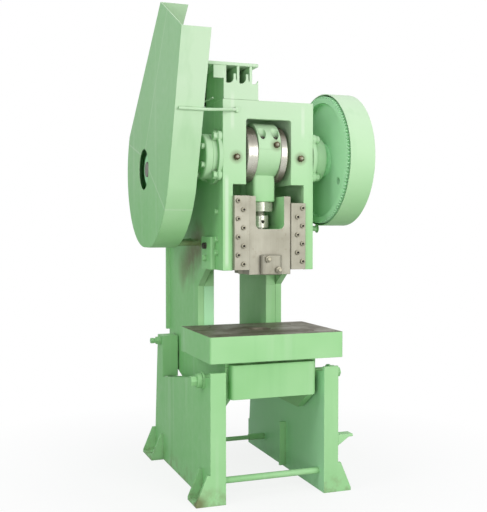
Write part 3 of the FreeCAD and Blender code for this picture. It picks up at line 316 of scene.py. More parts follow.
def shade_paint(name):
    """Painted shade: enamel made nearly black, for faces deep in the shadow of the motor stand."""
    g = Graph(name)
    shade_mottle = g.ramp(g.noise(11.0, 4.0), 0.35, 0.65, 0.88, 1.0)
    colour = g.mix(PAINT_DEEP, SHADE_BLACK, shade_mottle)
    return g.finish(colour, 0.6, g.bumps(g.noise(60.0, 3.0), 0.0008, 0.2), specular=PAINT_GLOSS)


# The folds pressed into the belt guard's face meet at its shaft hole (Y, Z).
FOLD_CENTRE = (0.100, 1.497)
FOLD_ENDS = ((-0.318, 2.077), (0.378, 1.577), (-0.260, 1.254))
FOLD_SLOPE = 0.035
FOLD_WIDTH = 0.006


def guard_paint(name):
    """Enamel on the belt guard, with the shallow folds that stiffen its flat face and a pale
    painted highlight along each fold.
    """
    g = Graph(name)
    colour, rough, normal = paint_layers(g, 0.5, 0.5)
    out_y = g.math("SUBTRACT", g.along("Y"), FOLD_CENTRE[0])
    out_z = g.math("SUBTRACT", g.along("Z"), FOLD_CENTRE[1])
    nearest = None
    for end_y, end_z in FOLD_ENDS:
        along_y = end_y - FOLD_CENTRE[0]
        along_z = end_z - FOLD_CENTRE[1]
        length = math.hypot(along_y, along_z)
        aside = g.math("SUBTRACT", g.math("MULTIPLY", out_y, along_z / length),
                       g.math("MULTIPLY", out_z, along_y / length))
        ahead = g.math("ADD", g.math("MULTIPLY", out_y, along_y / length),
                       g.math("MULTIPLY", out_z, along_z / length))
        behind = g.math("MAXIMUM", g.math("MULTIPLY", ahead, -1.0), 0.0)
        away = g.math("ADD", g.math("ABSOLUTE", aside), behind)
        nearest = away if nearest is None else g.math("MINIMUM", nearest, away)
    normal = g.bumps(g.math("MULTIPLY", nearest, FOLD_SLOPE), 1.0, 1.0, normal)
    # Painted highlight: a pale line along each fold.
    fold_highlight = g.ramp(nearest, FOLD_WIDTH, 0.0)
    colour = g.mix(colour, PAINT_HEAD, g.math("MULTIPLY", fold_highlight, 0.55))
    return g.finish(colour, rough, normal, specular=PAINT_GLOSS)


def machined_iron(name):
    """Planed table iron: tool marks along X, brown stains and a few bright rubs."""
    g = Graph(name)
    stain = g.ramp(g.noise(7.0, 5.0, 0.62), 0.38, 0.66)
    colour = g.mix(TABLE_STAIN, TABLE_IRON, stain)
    rub = g.ramp(g.noise(3.5, 4.0, vector=g.scaled((1.0, 3.0, 1.0))), 0.60, 0.72)
    colour = g.mix(colour, TABLE_RUB, g.math("MULTIPLY", rub, 0.7))
    lines = g.noise(30.0, 2.0, vector=g.scaled((0.25, 14.0, 1.0)))
    rough = g.ramp(stain, 0.0, 1.0, 0.60, 0.42)
    return g.finish(colour, rough, g.bumps(lines, 0.0006, 0.30), metallic=0.5)


def worn_steel(name):
    """Bare machined steel with fine upright lines, light streaks, and oil with painted shade in its
    corners.
    """
    g = Graph(name)
    lines = g.noise(7.0, 3.0, vector=g.scaled((60.0, 60.0, 0.6)))
    patch = g.ramp(g.noise(9.0, 4.0), 0.35, 0.70)
    colour = g.mix(dimmed(BARE_STEEL, 0.84), BARE_STEEL, g.ramp(lines, 0.32, 0.66, 0.35, 1.0))
    spots = g.ramp(g.noise(46.0, 3.0), 0.62, 0.74)
    colour = g.mix(colour, STEEL_SPOT, g.math("MULTIPLY", spots, 0.40))
    # Oil and painted shade: corners darkened by ambient occlusion.
    colour = g.mix(colour, OIL_AND_SHADE, g.math("MULTIPLY", g.corners(0.014), 0.65))
    colour = g.mix(colour, STEEL_PATCH, g.math("MULTIPLY", patch, 0.25))
    rough = g.ramp(patch, 0.0, 1.0, 0.44, 0.60)
    normal = g.bumps(lines, 0.0003, 0.18, g.rounded(0.0012))
    return g.finish(colour, rough, normal, metallic=0.35)


def polished_steel(name, oil=0.35, turned=True):
    """Ground forging: bright, with turning lines round the crank axis, oil with painted shade in
    its corners, and painted reflection and shade that darken it above and below the axis.
    """
    g = Graph(name)
    patch = g.ramp(g.noise(12.0, 4.0), 0.40, 0.70)
    colour = g.mix(POLISH, POLISH_DULL, g.math("MULTIPLY", patch, 0.6))
    # Oil and painted shade: corners darkened by ambient occlusion, by the share oil.
    colour = g.mix(colour, OIL_AND_SHADE, g.math("MULTIPLY", g.corners(0.012), oil))
    rough = g.ramp(patch, 0.0, 1.0, 0.22, 0.38)
    normal = g.rounded(0.0015)
    # turned adds the turning lines and the painted reflection and shade above and below the axis.
    if turned:
        centre = g.node("ShaderNodeMapping")
        g.join(g.place, centre.inputs["Vector"])
        centre.inputs["Location"].default_value = (0.0, -CRANK_Y, -CRANK_Z)
        wave = g.node("ShaderNodeTexWave", wave_type="RINGS", rings_direction="X")
        g.join(centre.outputs["Vector"], wave.inputs["Vector"])
        wave.inputs["Scale"].default_value = 90.0
        wave.inputs["Distortion"].default_value = 0.6
        normal = g.bumps(wave.outputs["Fac"], 0.0003, 0.18, normal)
        split = g.node("ShaderNodeSeparateXYZ")
        g.join(centre.outputs["Vector"], split.inputs["Vector"])
        # Painted reflection and shade: dark above and below the crank axis, bright across its
        # middle.
        rim = g.ramp(g.math("ABSOLUTE", split.outputs["Z"]), 0.030, 0.100)
        colour = g.mix(colour, POLISH_RIM_SHADE, g.math("MULTIPLY", rim, 0.8))
    return g.finish(colour, rough, normal, metallic=0.40)


def dark_steel(name, base, metallic=0.7, rough=0.42):
    """Blackened or oily bolt steel, lighter where it is rubbed."""
    g = Graph(name)
    patch = g.ramp(g.noise(60.0, 4.0), 0.40, 0.66)
    colour = g.mix(base, dimmed(base, 2.2), g.math("MULTIPLY", patch, 0.4))
    colour = g.mix(colour, RUBBED_EDGE, g.math("MULTIPLY", g.edges(0.0015), 0.6))
    normal = g.bumps(g.noise(200.0, 2.0), 0.0004, 0.25, g.rounded(0.0010))
    return g.finish(colour, g.ramp(patch, 0.0, 1.0, rough, rough + 0.12), normal, metallic=metallic)


def brass(name, base):
    """Yellow metal with dull patches."""
    g = Graph(name)
    patch = g.ramp(g.noise(80.0, 4.0), 0.40, 0.70)
    colour = g.mix(base, dimmed(base, 0.45), g.math("MULTIPLY", patch, 0.8))
    return g.finish(colour, g.ramp(patch, 0.0, 1.0, 0.26, 0.45), g.rounded(0.0008), metallic=0.9)


# Paler copy of the enamel: painted light for the gear's web inside its guard and other shaded
# faces.
LIGHTENED_PAINT = lightened_paint("lightened_paint")
MATERIALS = {
    "mint_paint": machine_paint("mint_paint"),
    "machined_iron": machined_iron("machined_iron"),
    "worn_steel": worn_steel("worn_steel"),
    "polished_steel": polished_steel("polished_steel"),
    "bolt_steel": dark_steel("bolt_steel", srgb(72, 70, 62)),
    "gear_steel": dark_steel("gear_steel", srgb(92, 90, 82), 0.8, 0.34),
    "cast_gear_iron": LIGHTENED_PAINT,
    "bronze": brass("bronze", srgb(176, 132, 74)),
    "brass": brass("brass", srgb(88, 76, 58)),
}
GUARD_PAINT = guard_paint("guard_paint")
SHADED_PAINT = shade_paint("shade_paint")
BRIGHT_STEEL = polished_steel("bright_steel", 0.5, turned=False)
SCREW_STEEL = dark_steel("screw_steel", srgb(138, 134, 118), 0.5, 0.42)
SOCKET_DARK = dark_steel("socket_dark", srgb(40, 36, 28), 0.3, 0.60)

SLOT_OF = {part["node"]: part["material_slot"] for part in frame["record"]["subparts"]}
BODIES = frame["record"]["behaviour"]["bodies"]
BODY_OF = {node: body for body, nodes in BODIES.items() for node in nodes}


def dress_nodes():
    """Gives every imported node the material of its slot."""
    for name, obj in NODES.items():
        chosen = MATERIALS[SLOT_OF[name]]
        if not obj.data.materials:
            obj.data.materials.append(chosen)
        for i in range(len(obj.material_slots)):
            obj.material_slots[i].material = chosen


dress_nodes()


# ---- pieces built round the frame -------------------------------------------
def add_piece(name, mesh, node, replaced=True, materials=None):
    """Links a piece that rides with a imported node's body and takes its slot."""
    piece = bpy.data.objects.new(name, mesh)
    bpy.context.scene.collection.objects.link(piece)
    for material in materials or [MATERIALS[SLOT_OF[node]]]:
        mesh.materials.append(material)
    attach(piece, BODY_OF[node])
    if replaced:
        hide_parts(node)
    return piece


WELD_DISTANCE = 0.02 * MM
FLAT_ANGLE = math.radians(1.0)
BEVEL_ANGLE = math.radians(35.0)


def bevelled(node, width, materials=None, narrow=None):
    """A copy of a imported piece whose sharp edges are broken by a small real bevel.

    narrow gives a height, a radius and how far corners above and within them move in.
    """
    grown = bmesh.new()
    grown.from_mesh(NODES[node].data)
    bmesh.ops.remove_doubles(grown, verts=grown.verts, dist=WELD_DISTANCE)
    bmesh.ops.dissolve_limit(grown, angle_limit=FLAT_ANGLE, verts=grown.verts, edges=grown.edges)
    if narrow:
        above, within, deeper = narrow
        for vert in grown.verts:
            out = Vector((vert.co.x - MID_X, vert.co.y - CRANK_Y, 0.0))
            if vert.co.z > above and deeper < out.length < within:
                vert.co -= out.normalized() * deeper
    mesh = bpy.data.meshes.new(node + "_finish")
    grown.to_mesh(mesh)
    grown.free()
    if "custom_normal" in mesh.attributes:
        mesh.attributes.remove(mesh.attributes["custom_normal"])
    mesh.shade_smooth()
    for polygon in mesh.polygons:
        polygon.material_index = 0
    piece = add_piece(node + "_finish", mesh, node, materials=materials)
    edge = piece.modifiers.new("edge", "BEVEL")
    edge.width = width * MM
    edge.segments = 2
    edge.limit_method = "ANGLE"
    edge.angle_limit = BEVEL_ANGLE
    edge.use_clamp_overlap = True
    flats = piece.modifiers.new("flats", "WEIGHTED_NORMAL")
    flats.keep_sharp = True
    return piece


# Width of the bevel on each piece's edges, in millimetres.
LEG_EDGE = 2.5
PLATE_EDGE = 2.0
BARS_EDGE = 2.5
BEVELS = {
    "left_leg": LEG_EDGE, "leg_lug": 1.5,
    "frame_left_side": 2.5, "frame_right_side": 2.5, "head_front_plate": 2.5, "head_roof": 2.0,
    "apron": 2.0, "motor_stand": 1.5, "pivot_bolts": 1.2, "clamp_bolts": 1.0,
    "left_bearing_housing": 2.0, "right_bearing_housing": 2.0, "crank_end_cover": 2.0,
    "left_gib": 1.2, "right_gib": 1.2, "tool_clamp": 6.0,
    "connecting_rod": 1.5, "rod_cap": 1.5, "crankshaft": 1.2,
    "motor_plate": PLATE_EDGE,
    "gear_collar": 1.2, "left_bracket": 2.0, "gear_guard": 0.8,
}

THREAD_BELOW = 18.0 * MM        # bare thread below the lock nut
THREAD_DIAMETER = 41.8 * MM
THREAD_PITCH = 4.0 * MM
THREAD_DEEP = 2.4 * MM          # how much slimmer the screw's core is than its thread
HOLE_RIM = 20.0 * MM            # walls this far inside the table's edge belong to its holes
NOTCH_HALF = 70.0 * MM          # half the width that the walls of the slide's notch lie in
NOTCH_FLOOR = 1.160             # height above which a wall is the notch's
FACING = 0.7                    # share of a normal along an axis that makes a face look that way


def bevel_slide():
    """The slide is bare steel outside, and painted on the walls of its open notch."""
    slide = bevelled("slide", 1.5, [MATERIALS["worn_steel"], MATERIALS["mint_paint"]])
    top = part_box("slide")[1].z - 2.0 * MM
    for polygon in slide.data.polygons:
        place = polygon.center
        inside = abs(place.x - MID_X) < NOTCH_HALF and place.z > NOTCH_FLOOR
        flat_face = abs(polygon.normal.y) > FACING or place.z > top
        polygon.material_index = 1 if inside and not flat_face else 0


def bevel_right_leg():
    """The leg's inner side takes the paler paint, painted light on a face the lamps leave in shade.
    """
    leg = bevelled("right_leg", LEG_EDGE, [MATERIALS["mint_paint"], LIGHTENED_PAINT])
    for polygon in leg.data.polygons:
        polygon.material_index = 1 if polygon.normal.x < -FACING else 0


def bevel_throat_bars():
    """The left bar takes the paler paint, painted light on its front in the shadow of the head."""
    bars = bevelled("throat_flanges", BARS_EDGE, [MATERIALS["mint_paint"], LIGHTENED_PAINT])
    for polygon in bars.data.polygons:
        polygon.material_index = 1 if polygon.center.x < MID_X else 0


def bevel_pieces():
    for node, width in BEVELS.items():
        bevelled(node, width)
    bevel_slide()
    bevel_right_leg()
    bevel_throat_bars()
    bevelled("belt_guard", 0.8, [GUARD_PAINT])
    bevelled("lock_nut", 1.0, [BRIGHT_STEEL])
    thread_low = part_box("lock_nut")[0].z - THREAD_BELOW - 1.0 * MM
    bevelled("adjusting_screw", 0.8, [BRIGHT_STEEL],
             narrow=(thread_low, THREAD_DIAMETER / 2.0 + 1.0 * MM, THREAD_DEEP))
    table = bevelled("table", 2.5, [MATERIALS["mint_paint"], MATERIALS["machined_iron"]])
    top = TABLE_HIGH.z - 1.0 * MM
    for polygon in table.data.polygons:
        place = polygon.center
        planed = place.z > top and polygon.normal.z > 0.9
        rim = min(place.x - TABLE_LOW.x, TABLE_HIGH.x - place.x,
                  place.y - TABLE_LOW.y, TABLE_HIGH.y - place.y)
        bored = rim > HOLE_RIM and abs(polygon.normal.z) < 0.5
        polygon.material_index = 1 if planed or bored else 0


bevel_pieces()


def loose_parts(node):
    """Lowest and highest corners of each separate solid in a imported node."""
    grown = bmesh.new()
    grown.from_mesh(NODES[node].data)
    bmesh.ops.remove_doubles(grown, verts=grown.verts, dist=WELD_DISTANCE)
    boxes = []
    seen = set()
    for start in grown.verts:
        if start in seen:
            continue
        seen.add(start)
        waiting = [start]
        low = start.co.copy()
        high = start.co.copy()
        while waiting:
            vert = waiting.pop()
            low = Vector(map(min, low, vert.co))
            high = Vector(map(max, high, vert.co))
            for edge in vert.link_edges:
                other = edge.other_vert(vert)
                if other not in seen:
                    seen.add(other)
                    waiting.append(other)
        boxes.append((low, high))
    grown.free()
    return boxes


STEPS = 36
THIRTY = math.radians(30.0)
SIXTY = math.radians(60.0)
SMOOTH_ANGLE = math.radians(32.0)
BEAD_STEP = 1.8 * MM            # length of a weld bead between two of its rings
BEAD_POINTS = 5                 # points on the open side of a ring
BEAD_RIPPLE = 7.0 * MM
BEAD_WANDER = (23.0 * MM, 9.1 * MM)


def hexagon(across, angle):
    """Distance from the middle to the rim of a hexagon of that width across flats."""
    return across / 2.0 / math.cos((angle + THIRTY) % SIXTY - THIRTY)


class Shape:
    """Turned, hexagonal and swept forms that grow into one mesh."""

    def __init__(self):
        self.verts = []
        self.faces = []
        self.marks = []

    def skin(self, rings, mark=0):
        """Joins rings of equal length and closes both ends."""
        first = len(self.verts)
        count = len(rings[0])
        for ring in rings:
            self.verts.extend(ring)
        for row in range(len(rings) - 1):
            for i in range(count):
                a = first + row * count + i
                b = first + row * count + (i + 1) % count
                self.faces.append((a, b, b + count, a + count))
        last = first + (len(rings) - 1) * count
        self.faces.append(tuple(reversed(range(first, first + count))))
        self.faces.append(tuple(range(last, last + count)))
        self.marks += [mark] * (len(self.faces) - len(self.marks))

    def turned(self, origin, axis, profile, mark=0, steps=STEPS):
        """Rings round an axis. A profile's radius is a number or a function of the angle."""
        turn = Vector(axis).to_track_quat("Z", "Y")
        rings = []
        for radius, lift in profile:
            ring = []
            for i in range(steps):
                angle = math.tau * i / steps
                reach = radius(angle) if callable(radius) else radius
                rise = lift(angle) if callable(lift) else lift
                point = Vector((reach * math.cos(angle), reach * math.sin(angle), rise))
                ring.append(turn @ point + Vector(origin))
            rings.append(ring)
        self.skin(rings, mark)

    def washer(self, origin, axis, diameter, thick):
        rim = diameter / 2.0
        self.turned(origin, axis, [(rim, 0.0), (rim, thick * 0.7), (rim - thick * 0.3, thick)])

    def hex_head(self, origin, axis, across, tall):
        """Hexagon with the turned chamfer that leaves arcs on its flats."""
        flat = 0.95 * across / 2.0

        def shoulder(angle):
            return tall - (hexagon(across, angle) - flat) * math.tan(THIRTY)

        def rim(angle):
            return hexagon(across, angle)
        self.turned(origin, axis, [(rim, 0.0), (rim, shoulder), (flat, tall)])

    def socket_head(self, origin, axis, diameter, tall):
        """Cap screw with a rounded rim and a hexagon socket, the socket marked 1."""
        rim = diameter / 2.0
        across = 0.52 * diameter
        deep = 0.6 * tall

        def wall(angle):
            return hexagon(across, angle)
        before = len(self.faces)
        self.turned(origin, axis, [(rim, 0.0), (rim, tall - 0.10 * diameter),
                                   (rim - 0.03 * diameter, tall - 0.03 * diameter),
                                   (rim - 0.10 * diameter, tall),
                                   (wall, tall), (wall, tall - deep)])
        walls = before + 4 * STEPS      # the fifth band of faces, from its rim to its floor
        self.marks[walls:walls + STEPS] = [1] * STEPS
        self.marks[-1] = 1              # the last end is the socket's floor

    def thread(self, origin, axis, diameter, length, pitch):
        """A rod whose surface rises and falls in one long helix."""
        rows = max(2, round(length / pitch * 6))
        depth = 0.5 * pitch
        profile = [(diameter / 2.0 - 0.8 * depth, 0.0)]
        for row in range(1, rows):
            lift = length * row / rows

            def crest(angle, lift=lift):
                turn = (lift / pitch - angle / math.tau) % 1.0
                return diameter / 2.0 - depth * abs(2.0 * turn - 1.0)
            profile.append((crest, lift))
        profile.append((diameter / 2.0 - 0.8 * depth, length))
        self.turned(origin, axis, profile)

    def bead(self, start, end, first, second, leg):
        """A rippled weld bead along an inner corner between two faces' directions."""
        start, end = Vector(start), Vector(end)
        first, second = Vector(first), Vector(second)
        length = (end - start).length
        rows = max(4, round(length / BEAD_STEP))
        wide, narrow = BEAD_WANDER
        rings = []
        for row in range(rows + 1):
            share = row / rows
            along = share * length
            wander = 0.05 * math.sin(along / wide) + 0.04 * math.sin(along / narrow + 1.0)
            swell = leg * (1.0 + 0.09 * math.cos(math.tau * along / BEAD_RIPPLE) + wander)
            if row in (0, rows):
                swell *= 0.4
            middle = start.lerp(end, share)
            bury = (first + second) * (-0.3 * leg)
            ring = [middle + bury]
            for step in range(BEAD_POINTS):
                angle = math.pi / 2.0 * step / (BEAD_POINTS - 1)
                ring.append(middle + first * (swell * math.cos(angle) * 0.9)
                            + second * (swell * math.sin(angle) * 0.9))
            rings.append(ring)
        self.skin(rings)

    def mesh(self, name):
        made = bpy.data.meshes.new(name)
        made.from_pydata([tuple(v) for v in self.verts], [], self.faces)
        for polygon, mark in zip(made.polygons, self.marks):
            polygon.material_index = mark
        grown = bmesh.new()
        grown.from_mesh(made)
        bmesh.ops.recalc_face_normals(grown, faces=grown.faces)
        grown.to_mesh(made)
        grown.free()
        made.shade_smooth()
        made.set_sharp_from_angle(angle=SMOOTH_ANGLE)
        return made


def seat_of(low, high, axis):
    """Middle of the face that a fastener sits on, and its length along its axis."""
    axis = Vector(axis)
    middle = (low + high) / 2.0
    reach = abs((high - low).dot(axis)) / 2.0
    return middle - axis * reach, 2.0 * reach


WASHER_SHARE = 0.18
WASHER_WIDE = 1.22


def hexagon_bolts(node, axis_for, across):
    """Washer and chamfered hexagon head in place of each plain head of a node."""
    shape = Shape()
    for low, high in loose_parts(node):
        axis = Vector(axis_for(low, high))
        seat, tall = seat_of(low, high, axis)
        thick = tall * WASHER_SHARE
        shape.washer(seat, axis, across * WASHER_WIDE, thick)
        shape.hex_head(seat + axis * thick, axis, across, tall - thick)
    return shape


def outward(low, high):
    """The way out of the press for a fastener on its left or right side."""
    return (-1.0, 0.0, 0.0) if (low.x + high.x) / 2.0 < MID_X else (1.0, 0.0, 0.0)


STUD_DIAMETER = 16.0 * MM
STUD_PITCH = 2.0 * MM


def fasteners():
    """Bolts, screws and studs; each plan has a way out and a width across flats in millimetres."""
    plans = (("cover_bolts", outward, 22.0), ("housing_bolts", outward, 30.0),
             ("side_screws", outward, 22.0), ("bracket_bolts", outward, 24.0),
             ("table_bolts", lambda low, high: (0.0, 0.0, -1.0), 30.0),
             ("rod_cap_bolts", lambda low, high: (0.0, 0.0, 1.0), 24.0))
    for node, axis_for, across in plans:
        shape = hexagon_bolts(node, axis_for, across * MM)
        materials = None
        if node == "bracket_bolts":
            # The upper one has lost its enamel and is black with oil.
            middle = sum(corner.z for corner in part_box(node)) / 2.0
            shape.marks = [1 if shape.verts[face[0]].z > middle else 0 for face in shape.faces]
            materials = [MATERIALS["mint_paint"], SOCKET_DARK]
        add_piece(node + "_detail", shape.mesh(node + "_detail"), node, materials=materials)
    screws = Shape()
    for low, high in loose_parts("gib_screws"):
        seat, tall = seat_of(low, high, FRONT)
        screws.socket_head(seat, FRONT, high.z - low.z, tall)
    add_piece("gib_screws_detail", screws.mesh("gib_screws_detail"), "gib_screws",
              materials=[SCREW_STEEL, SOCKET_DARK])
    studs = Shape()
    for low, high in loose_parts("clamp_studs"):
        seat, tall = seat_of(low, high, FRONT)
        nut = 0.55 * tall
        studs.hex_head(seat, FRONT, high.z - low.z, nut)
        studs.thread(seat, FRONT, STUD_DIAMETER, tall, STUD_PITCH)
    add_piece("clamp_studs_detail", studs.mesh("clamp_studs_detail"), "clamp_studs",
              materials=[SCREW_STEEL])


NIPPLE_BOSS = 6.0 * MM
NIPPLE_ACROSS = 24.0 * MM


def oil_nipple(shape, low, high):
    """Dark boss and hexagon with a brighter ball end."""
    seat, tall = seat_of(low, high, FRONT)
    rim = (high.z - low.z) / 2.0
    shape.turned(seat, FRONT, [(rim, 0.0), (rim, NIPPLE_BOSS * 0.75),
                               (rim - NIPPLE_BOSS * 0.25, NIPPLE_BOSS)])
    body = tall - NIPPLE_BOSS
    shape.hex_head(seat + FRONT * NIPPLE_BOSS, FRONT, NIPPLE_ACROSS, body * 0.5)
    neck = NIPPLE_ACROSS * 0.22
    ball = NIPPLE_ACROSS * 0.30
    lift = NIPPLE_BOSS + body * 0.5
    shape.turned(seat, FRONT, [(neck * 1.4, lift), (neck, lift + body * 0.18),
                               (ball, lift + body * 0.26), (ball, lift + body * 0.36),
                               (neck, lift + body * 0.46), (neck * 0.5, lift + body * 0.5)], 1)


def nipples():
    for node in ("oil_nipples", "rod_nipple"):
        shape = Shape()
        for low, high in loose_parts(node):
            oil_nipple(shape, low, high)
        add_piece(node + "_detail", shape.mesh(node + "_detail"), node,
                  materials=[MATERIALS["brass"], SCREW_STEEL])


def screw_thread():
    """Thread of the adjusting screw, from the wrench collar to its top inside the rod."""
    shape = Shape()
    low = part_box("lock_nut")[0].z - THREAD_BELOW
    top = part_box("adjusting_screw")[1].z - 1.0 * MM
    shape.thread((MID_X, CRANK_Y, low), UP, THREAD_DIAMETER, top - low, THREAD_PITCH)
    add_piece("screw_thread", shape.mesh("screw_thread"), "adjusting_screw", replaced=False,
              materials=[BRIGHT_STEEL])


SHANK_HALF = 51.8 * MM
SHANK_DEPTH = 116.0 * MM
SHANK_ROUND = 16.0 * MM
SHANK_CHAMFER = 3.0 * MM
SHANK_TOP = 1.412               # inside the ring of the strap
CORNER_STEPS = 6


def rod_shank():
    """Square shank with round corners below the strap, where the solid has a round one."""
    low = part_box("connecting_rod")[0].z
    rings = []
    for z, inset in ((low, SHANK_CHAMFER), (low + SHANK_CHAMFER, 0.0), (SHANK_TOP, 0.0)):
        half_x = SHANK_HALF - inset
        half_y = SHANK_DEPTH / 2.0 - inset
        ring = []
        for quarter in range(4):
            along = math.radians(90.0 * quarter)
            corner_x = (half_x - SHANK_ROUND) * (1 if quarter in (0, 3) else -1)
            corner_y = (half_y - SHANK_ROUND) * (1 if quarter in (0, 1) else -1)
            for step in range(CORNER_STEPS + 1):
                angle = along + math.radians(90.0) * step / CORNER_STEPS
                ring.append(Vector((MID_X + corner_x + SHANK_ROUND * math.cos(angle),
                                    CRANK_Y + corner_y + SHANK_ROUND * math.sin(angle), z)))
        rings.append(ring)
    shape = Shape()
    shape.skin(rings)
    add_piece("rod_shank", shape.mesh("rod_shank"), "connecting_rod", replaced=False)


PLATE_MORE = 26.0 * MM          # how much further right than the solid the motor plate reaches
BARS_MORE = 200.0 * MM          # how much further up than the solid the throat's bars reach
CHEEK_FACE = MID_X - 84.0 * MM  # outer face of the crank's left cheek in the solid
CHEEK_CHAMFER = 3.0 * MM
CHEEK_MORE = 16.0 * MM          # how much thicker than the solid that cheek is
CHEEK_STEPS = 96


def block(shape, low, high, axis, edge):
    """Block that carries a piece on along an axis, its long edges and far end chamfered."""
    across, up = [i for i in range(3) if i != axis]
    rings = []
    for place, inset in ((low[axis], 0.0), (high[axis] - edge, 0.0), (high[axis], edge)):
        left, right = low[across] + inset, high[across] - inset
        under, over = low[up] + inset, high[up] - inset
        ring = []
        for u, v in ((left + edge, under), (right - edge, under),
                     (right, under + edge), (right, over - edge),
                     (right - edge, over), (left + edge, over),
                     (left, over - edge), (left, under + edge)):
            corner = Vector((0.0, 0.0, 0.0))
            corner[axis], corner[across], corner[up] = place, u, v
            ring.append(corner)
        rings.append(ring)
    shape.skin(rings)


def longer_pieces():
    """Forms that go on from a solid: the motor plate, the throat's bars and the left cheek."""
    low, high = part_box("motor_plate")
    edge = PLATE_EDGE * MM
    plate = Shape()
    block(plate, Vector((high.x - edge, low.y, low.z)),
          Vector((high.x + PLATE_MORE, high.y, high.z)), 0, edge)
    add_piece("motor_plate_end", plate.mesh("motor_plate_end"), "motor_plate", replaced=False)
    edge = BARS_EDGE * MM
    bars = Shape()
    for low, high in loose_parts("throat_flanges"):
        block(bars, Vector((low.x, low.y, high.z - edge)),
              Vector((high.x, high.y, high.z + BARS_MORE)), 2, edge)
    add_piece("throat_bar_tops", bars.mesh("throat_bar_tops"), "throat_flanges", replaced=False)
    low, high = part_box("crankshaft")
    radius = (high.z - low.z) / 2.0
    middle = (CHEEK_FACE + CHEEK_CHAMFER, (low.y + high.y) / 2.0, (low.z + high.z) / 2.0)
    thick = CHEEK_MORE + CHEEK_CHAMFER
    cheek = Shape()
    cheek.turned(middle, (-1.0, 0.0, 0.0),
                 [(radius, 0.0), (radius, thick - CHEEK_CHAMFER), (radius - CHEEK_CHAMFER, thick)],
                 steps=CHEEK_STEPS)
    add_piece("crank_cheek_face", cheek.mesh("crank_cheek_face"), "crankshaft", replaced=False)


WELD_LEG = 6.0 * MM
WELD_START = 4.0 * MM           # how far behind the stand's front its beads begin


def weld_beads():
    """Beads where the stand meets the roof, the lug the leg and the guards' studs the frame."""
    low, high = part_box("motor_stand")
    roof = Shape()
    for x, way in ((low.x, (-1, 0, 0)), (high.x, (1, 0, 0))):
        roof.bead((x, low.y + WELD_START, low.z), (x, high.y, low.z), way, (0, 0, 1), WELD_LEG)
    add_piece("stand_welds", roof.mesh("stand_welds"), "motor_stand", replaced=False)
    low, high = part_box("leg_lug")
    lug = Shape()
    lug.bead((low.x, low.y, high.z), (low.x, high.y, high.z), (1, 0, 0), (0, 0, 1), WELD_LEG)
    add_piece("lug_weld", lug.mesh("lug_weld"), "leg_lug", replaced=False)
    studs = Shape()
    for low, high in loose_parts("belt_guard_studs") + loose_parts("gear_guard_studs"):
        side = Vector(outward(low, high))
        root = (low + high) / 2.0
        root.x = high.x if side.x < 0 else low.x
        rim = (high.z - low.z) / 2.0
        studs.turned(root, side, [(rim + WELD_LEG, 0.0), (rim + WELD_LEG * 0.6, WELD_LEG * 0.5),
                                  (rim, WELD_LEG)])
    add_piece("stud_welds", studs.mesh("stud_welds"), "frame_left_side", replaced=False)


BACK_THICK = 4.0 * MM
BACK_INSET = 8.0 * MM


def stand_back():
    """Plate that closes the back of the motor stand, its inner face painted nearly black as shade.
    """
    low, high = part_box("motor_stand")
    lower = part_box("head_roof")[1].z
    left, right = low.x + BACK_THICK, high.x - BACK_THICK
    rings = []
    for y in (high.y - BACK_INSET - BACK_THICK, high.y - BACK_INSET):
        rings.append([Vector((left, y, lower)), Vector((right, y, lower)),
                      Vector((right, y, high.z)), Vector((left, y, high.z))])
    shape = Shape()
    shape.skin(rings)
    shape.marks[len(rings[0])] = 1    # the first ring's end is the inner face
    add_piece("stand_back", shape.mesh("stand_back"), "motor_stand", replaced=False,
              materials=[MATERIALS["mint_paint"], SHADED_PAINT])


fasteners()
nipples()
stand_back()
screw_thread()
rod_shank()
longer_pieces()
weld_beads()


# ---- stage, light and camera ------------------------------------------------
FLOOR_HALF = 14.0
FLOOR_SEEN = (0.94, 0.94, 0.94, 1.0)
FLOOR_BOUNCE = (0.42, 0.48, 0.40, 1.0)   # keeps white off the undersides of the press
FLOOR_GLOW = 0.84          # how white the floor is by itself where the shadow lies
FADE_NEAR = 0.7
FADE_FAR = 1.7
WHITE = (1.0, 1.0, 1.0)
SKY_COLOUR = (0.92, 0.96, 1.0, 1.0)
SKY_LEVEL = 0.44


def make_floor():
    """Pale floor that keeps the shadow near the press and fades to plain white."""
    mesh = bpy.data.meshes.new("floor")
    corners = [(-FLOOR_HALF, -FLOOR_HALF, 0), (FLOOR_HALF, -FLOOR_HALF, 0),
               (FLOOR_HALF, FLOOR_HALF, 0), (-FLOOR_HALF, FLOOR_HALF, 0)]
    mesh.from_pydata(corners, [], [(0, 1, 2, 3)])
    floor = bpy.data.objects.new("floor", mesh)
    bpy.context.scene.collection.objects.link(floor)
    g = Graph("floor")
    far = g.node("ShaderNodeVectorMath", operation="LENGTH")
    g.join(g.place, far.inputs[0])
    fade = g.ramp(far.outputs["Value"], FADE_NEAR, FADE_FAR, FLOOR_GLOW, 1.0)
    path = g.node("ShaderNodeLightPath")
    seen = g.math("MAXIMUM", path.outputs["Is Camera Ray"], path.outputs["Is Glossy Ray"])
    seen = g.math("MAXIMUM", seen, path.outputs["Is Transmission Ray"])
    glow = g.node("ShaderNodeEmission")
    mixed = g.node("ShaderNodeMixShader")
    g.finish(g.mix(FLOOR_BOUNCE, FLOOR_SEEN, seen), 0.9, specular=0.1)
    g.join(g.math("MULTIPLY", seen, fade), mixed.inputs["Fac"])
    g.join(g.shader.outputs["BSDF"], mixed.inputs[1])
    g.join(glow.outputs["Emission"], mixed.inputs[2])
    g.join(mixed.outputs["Shader"], g.tree.nodes["Material Output"].inputs["Surface"])
    mesh.materials.append(g.mat)


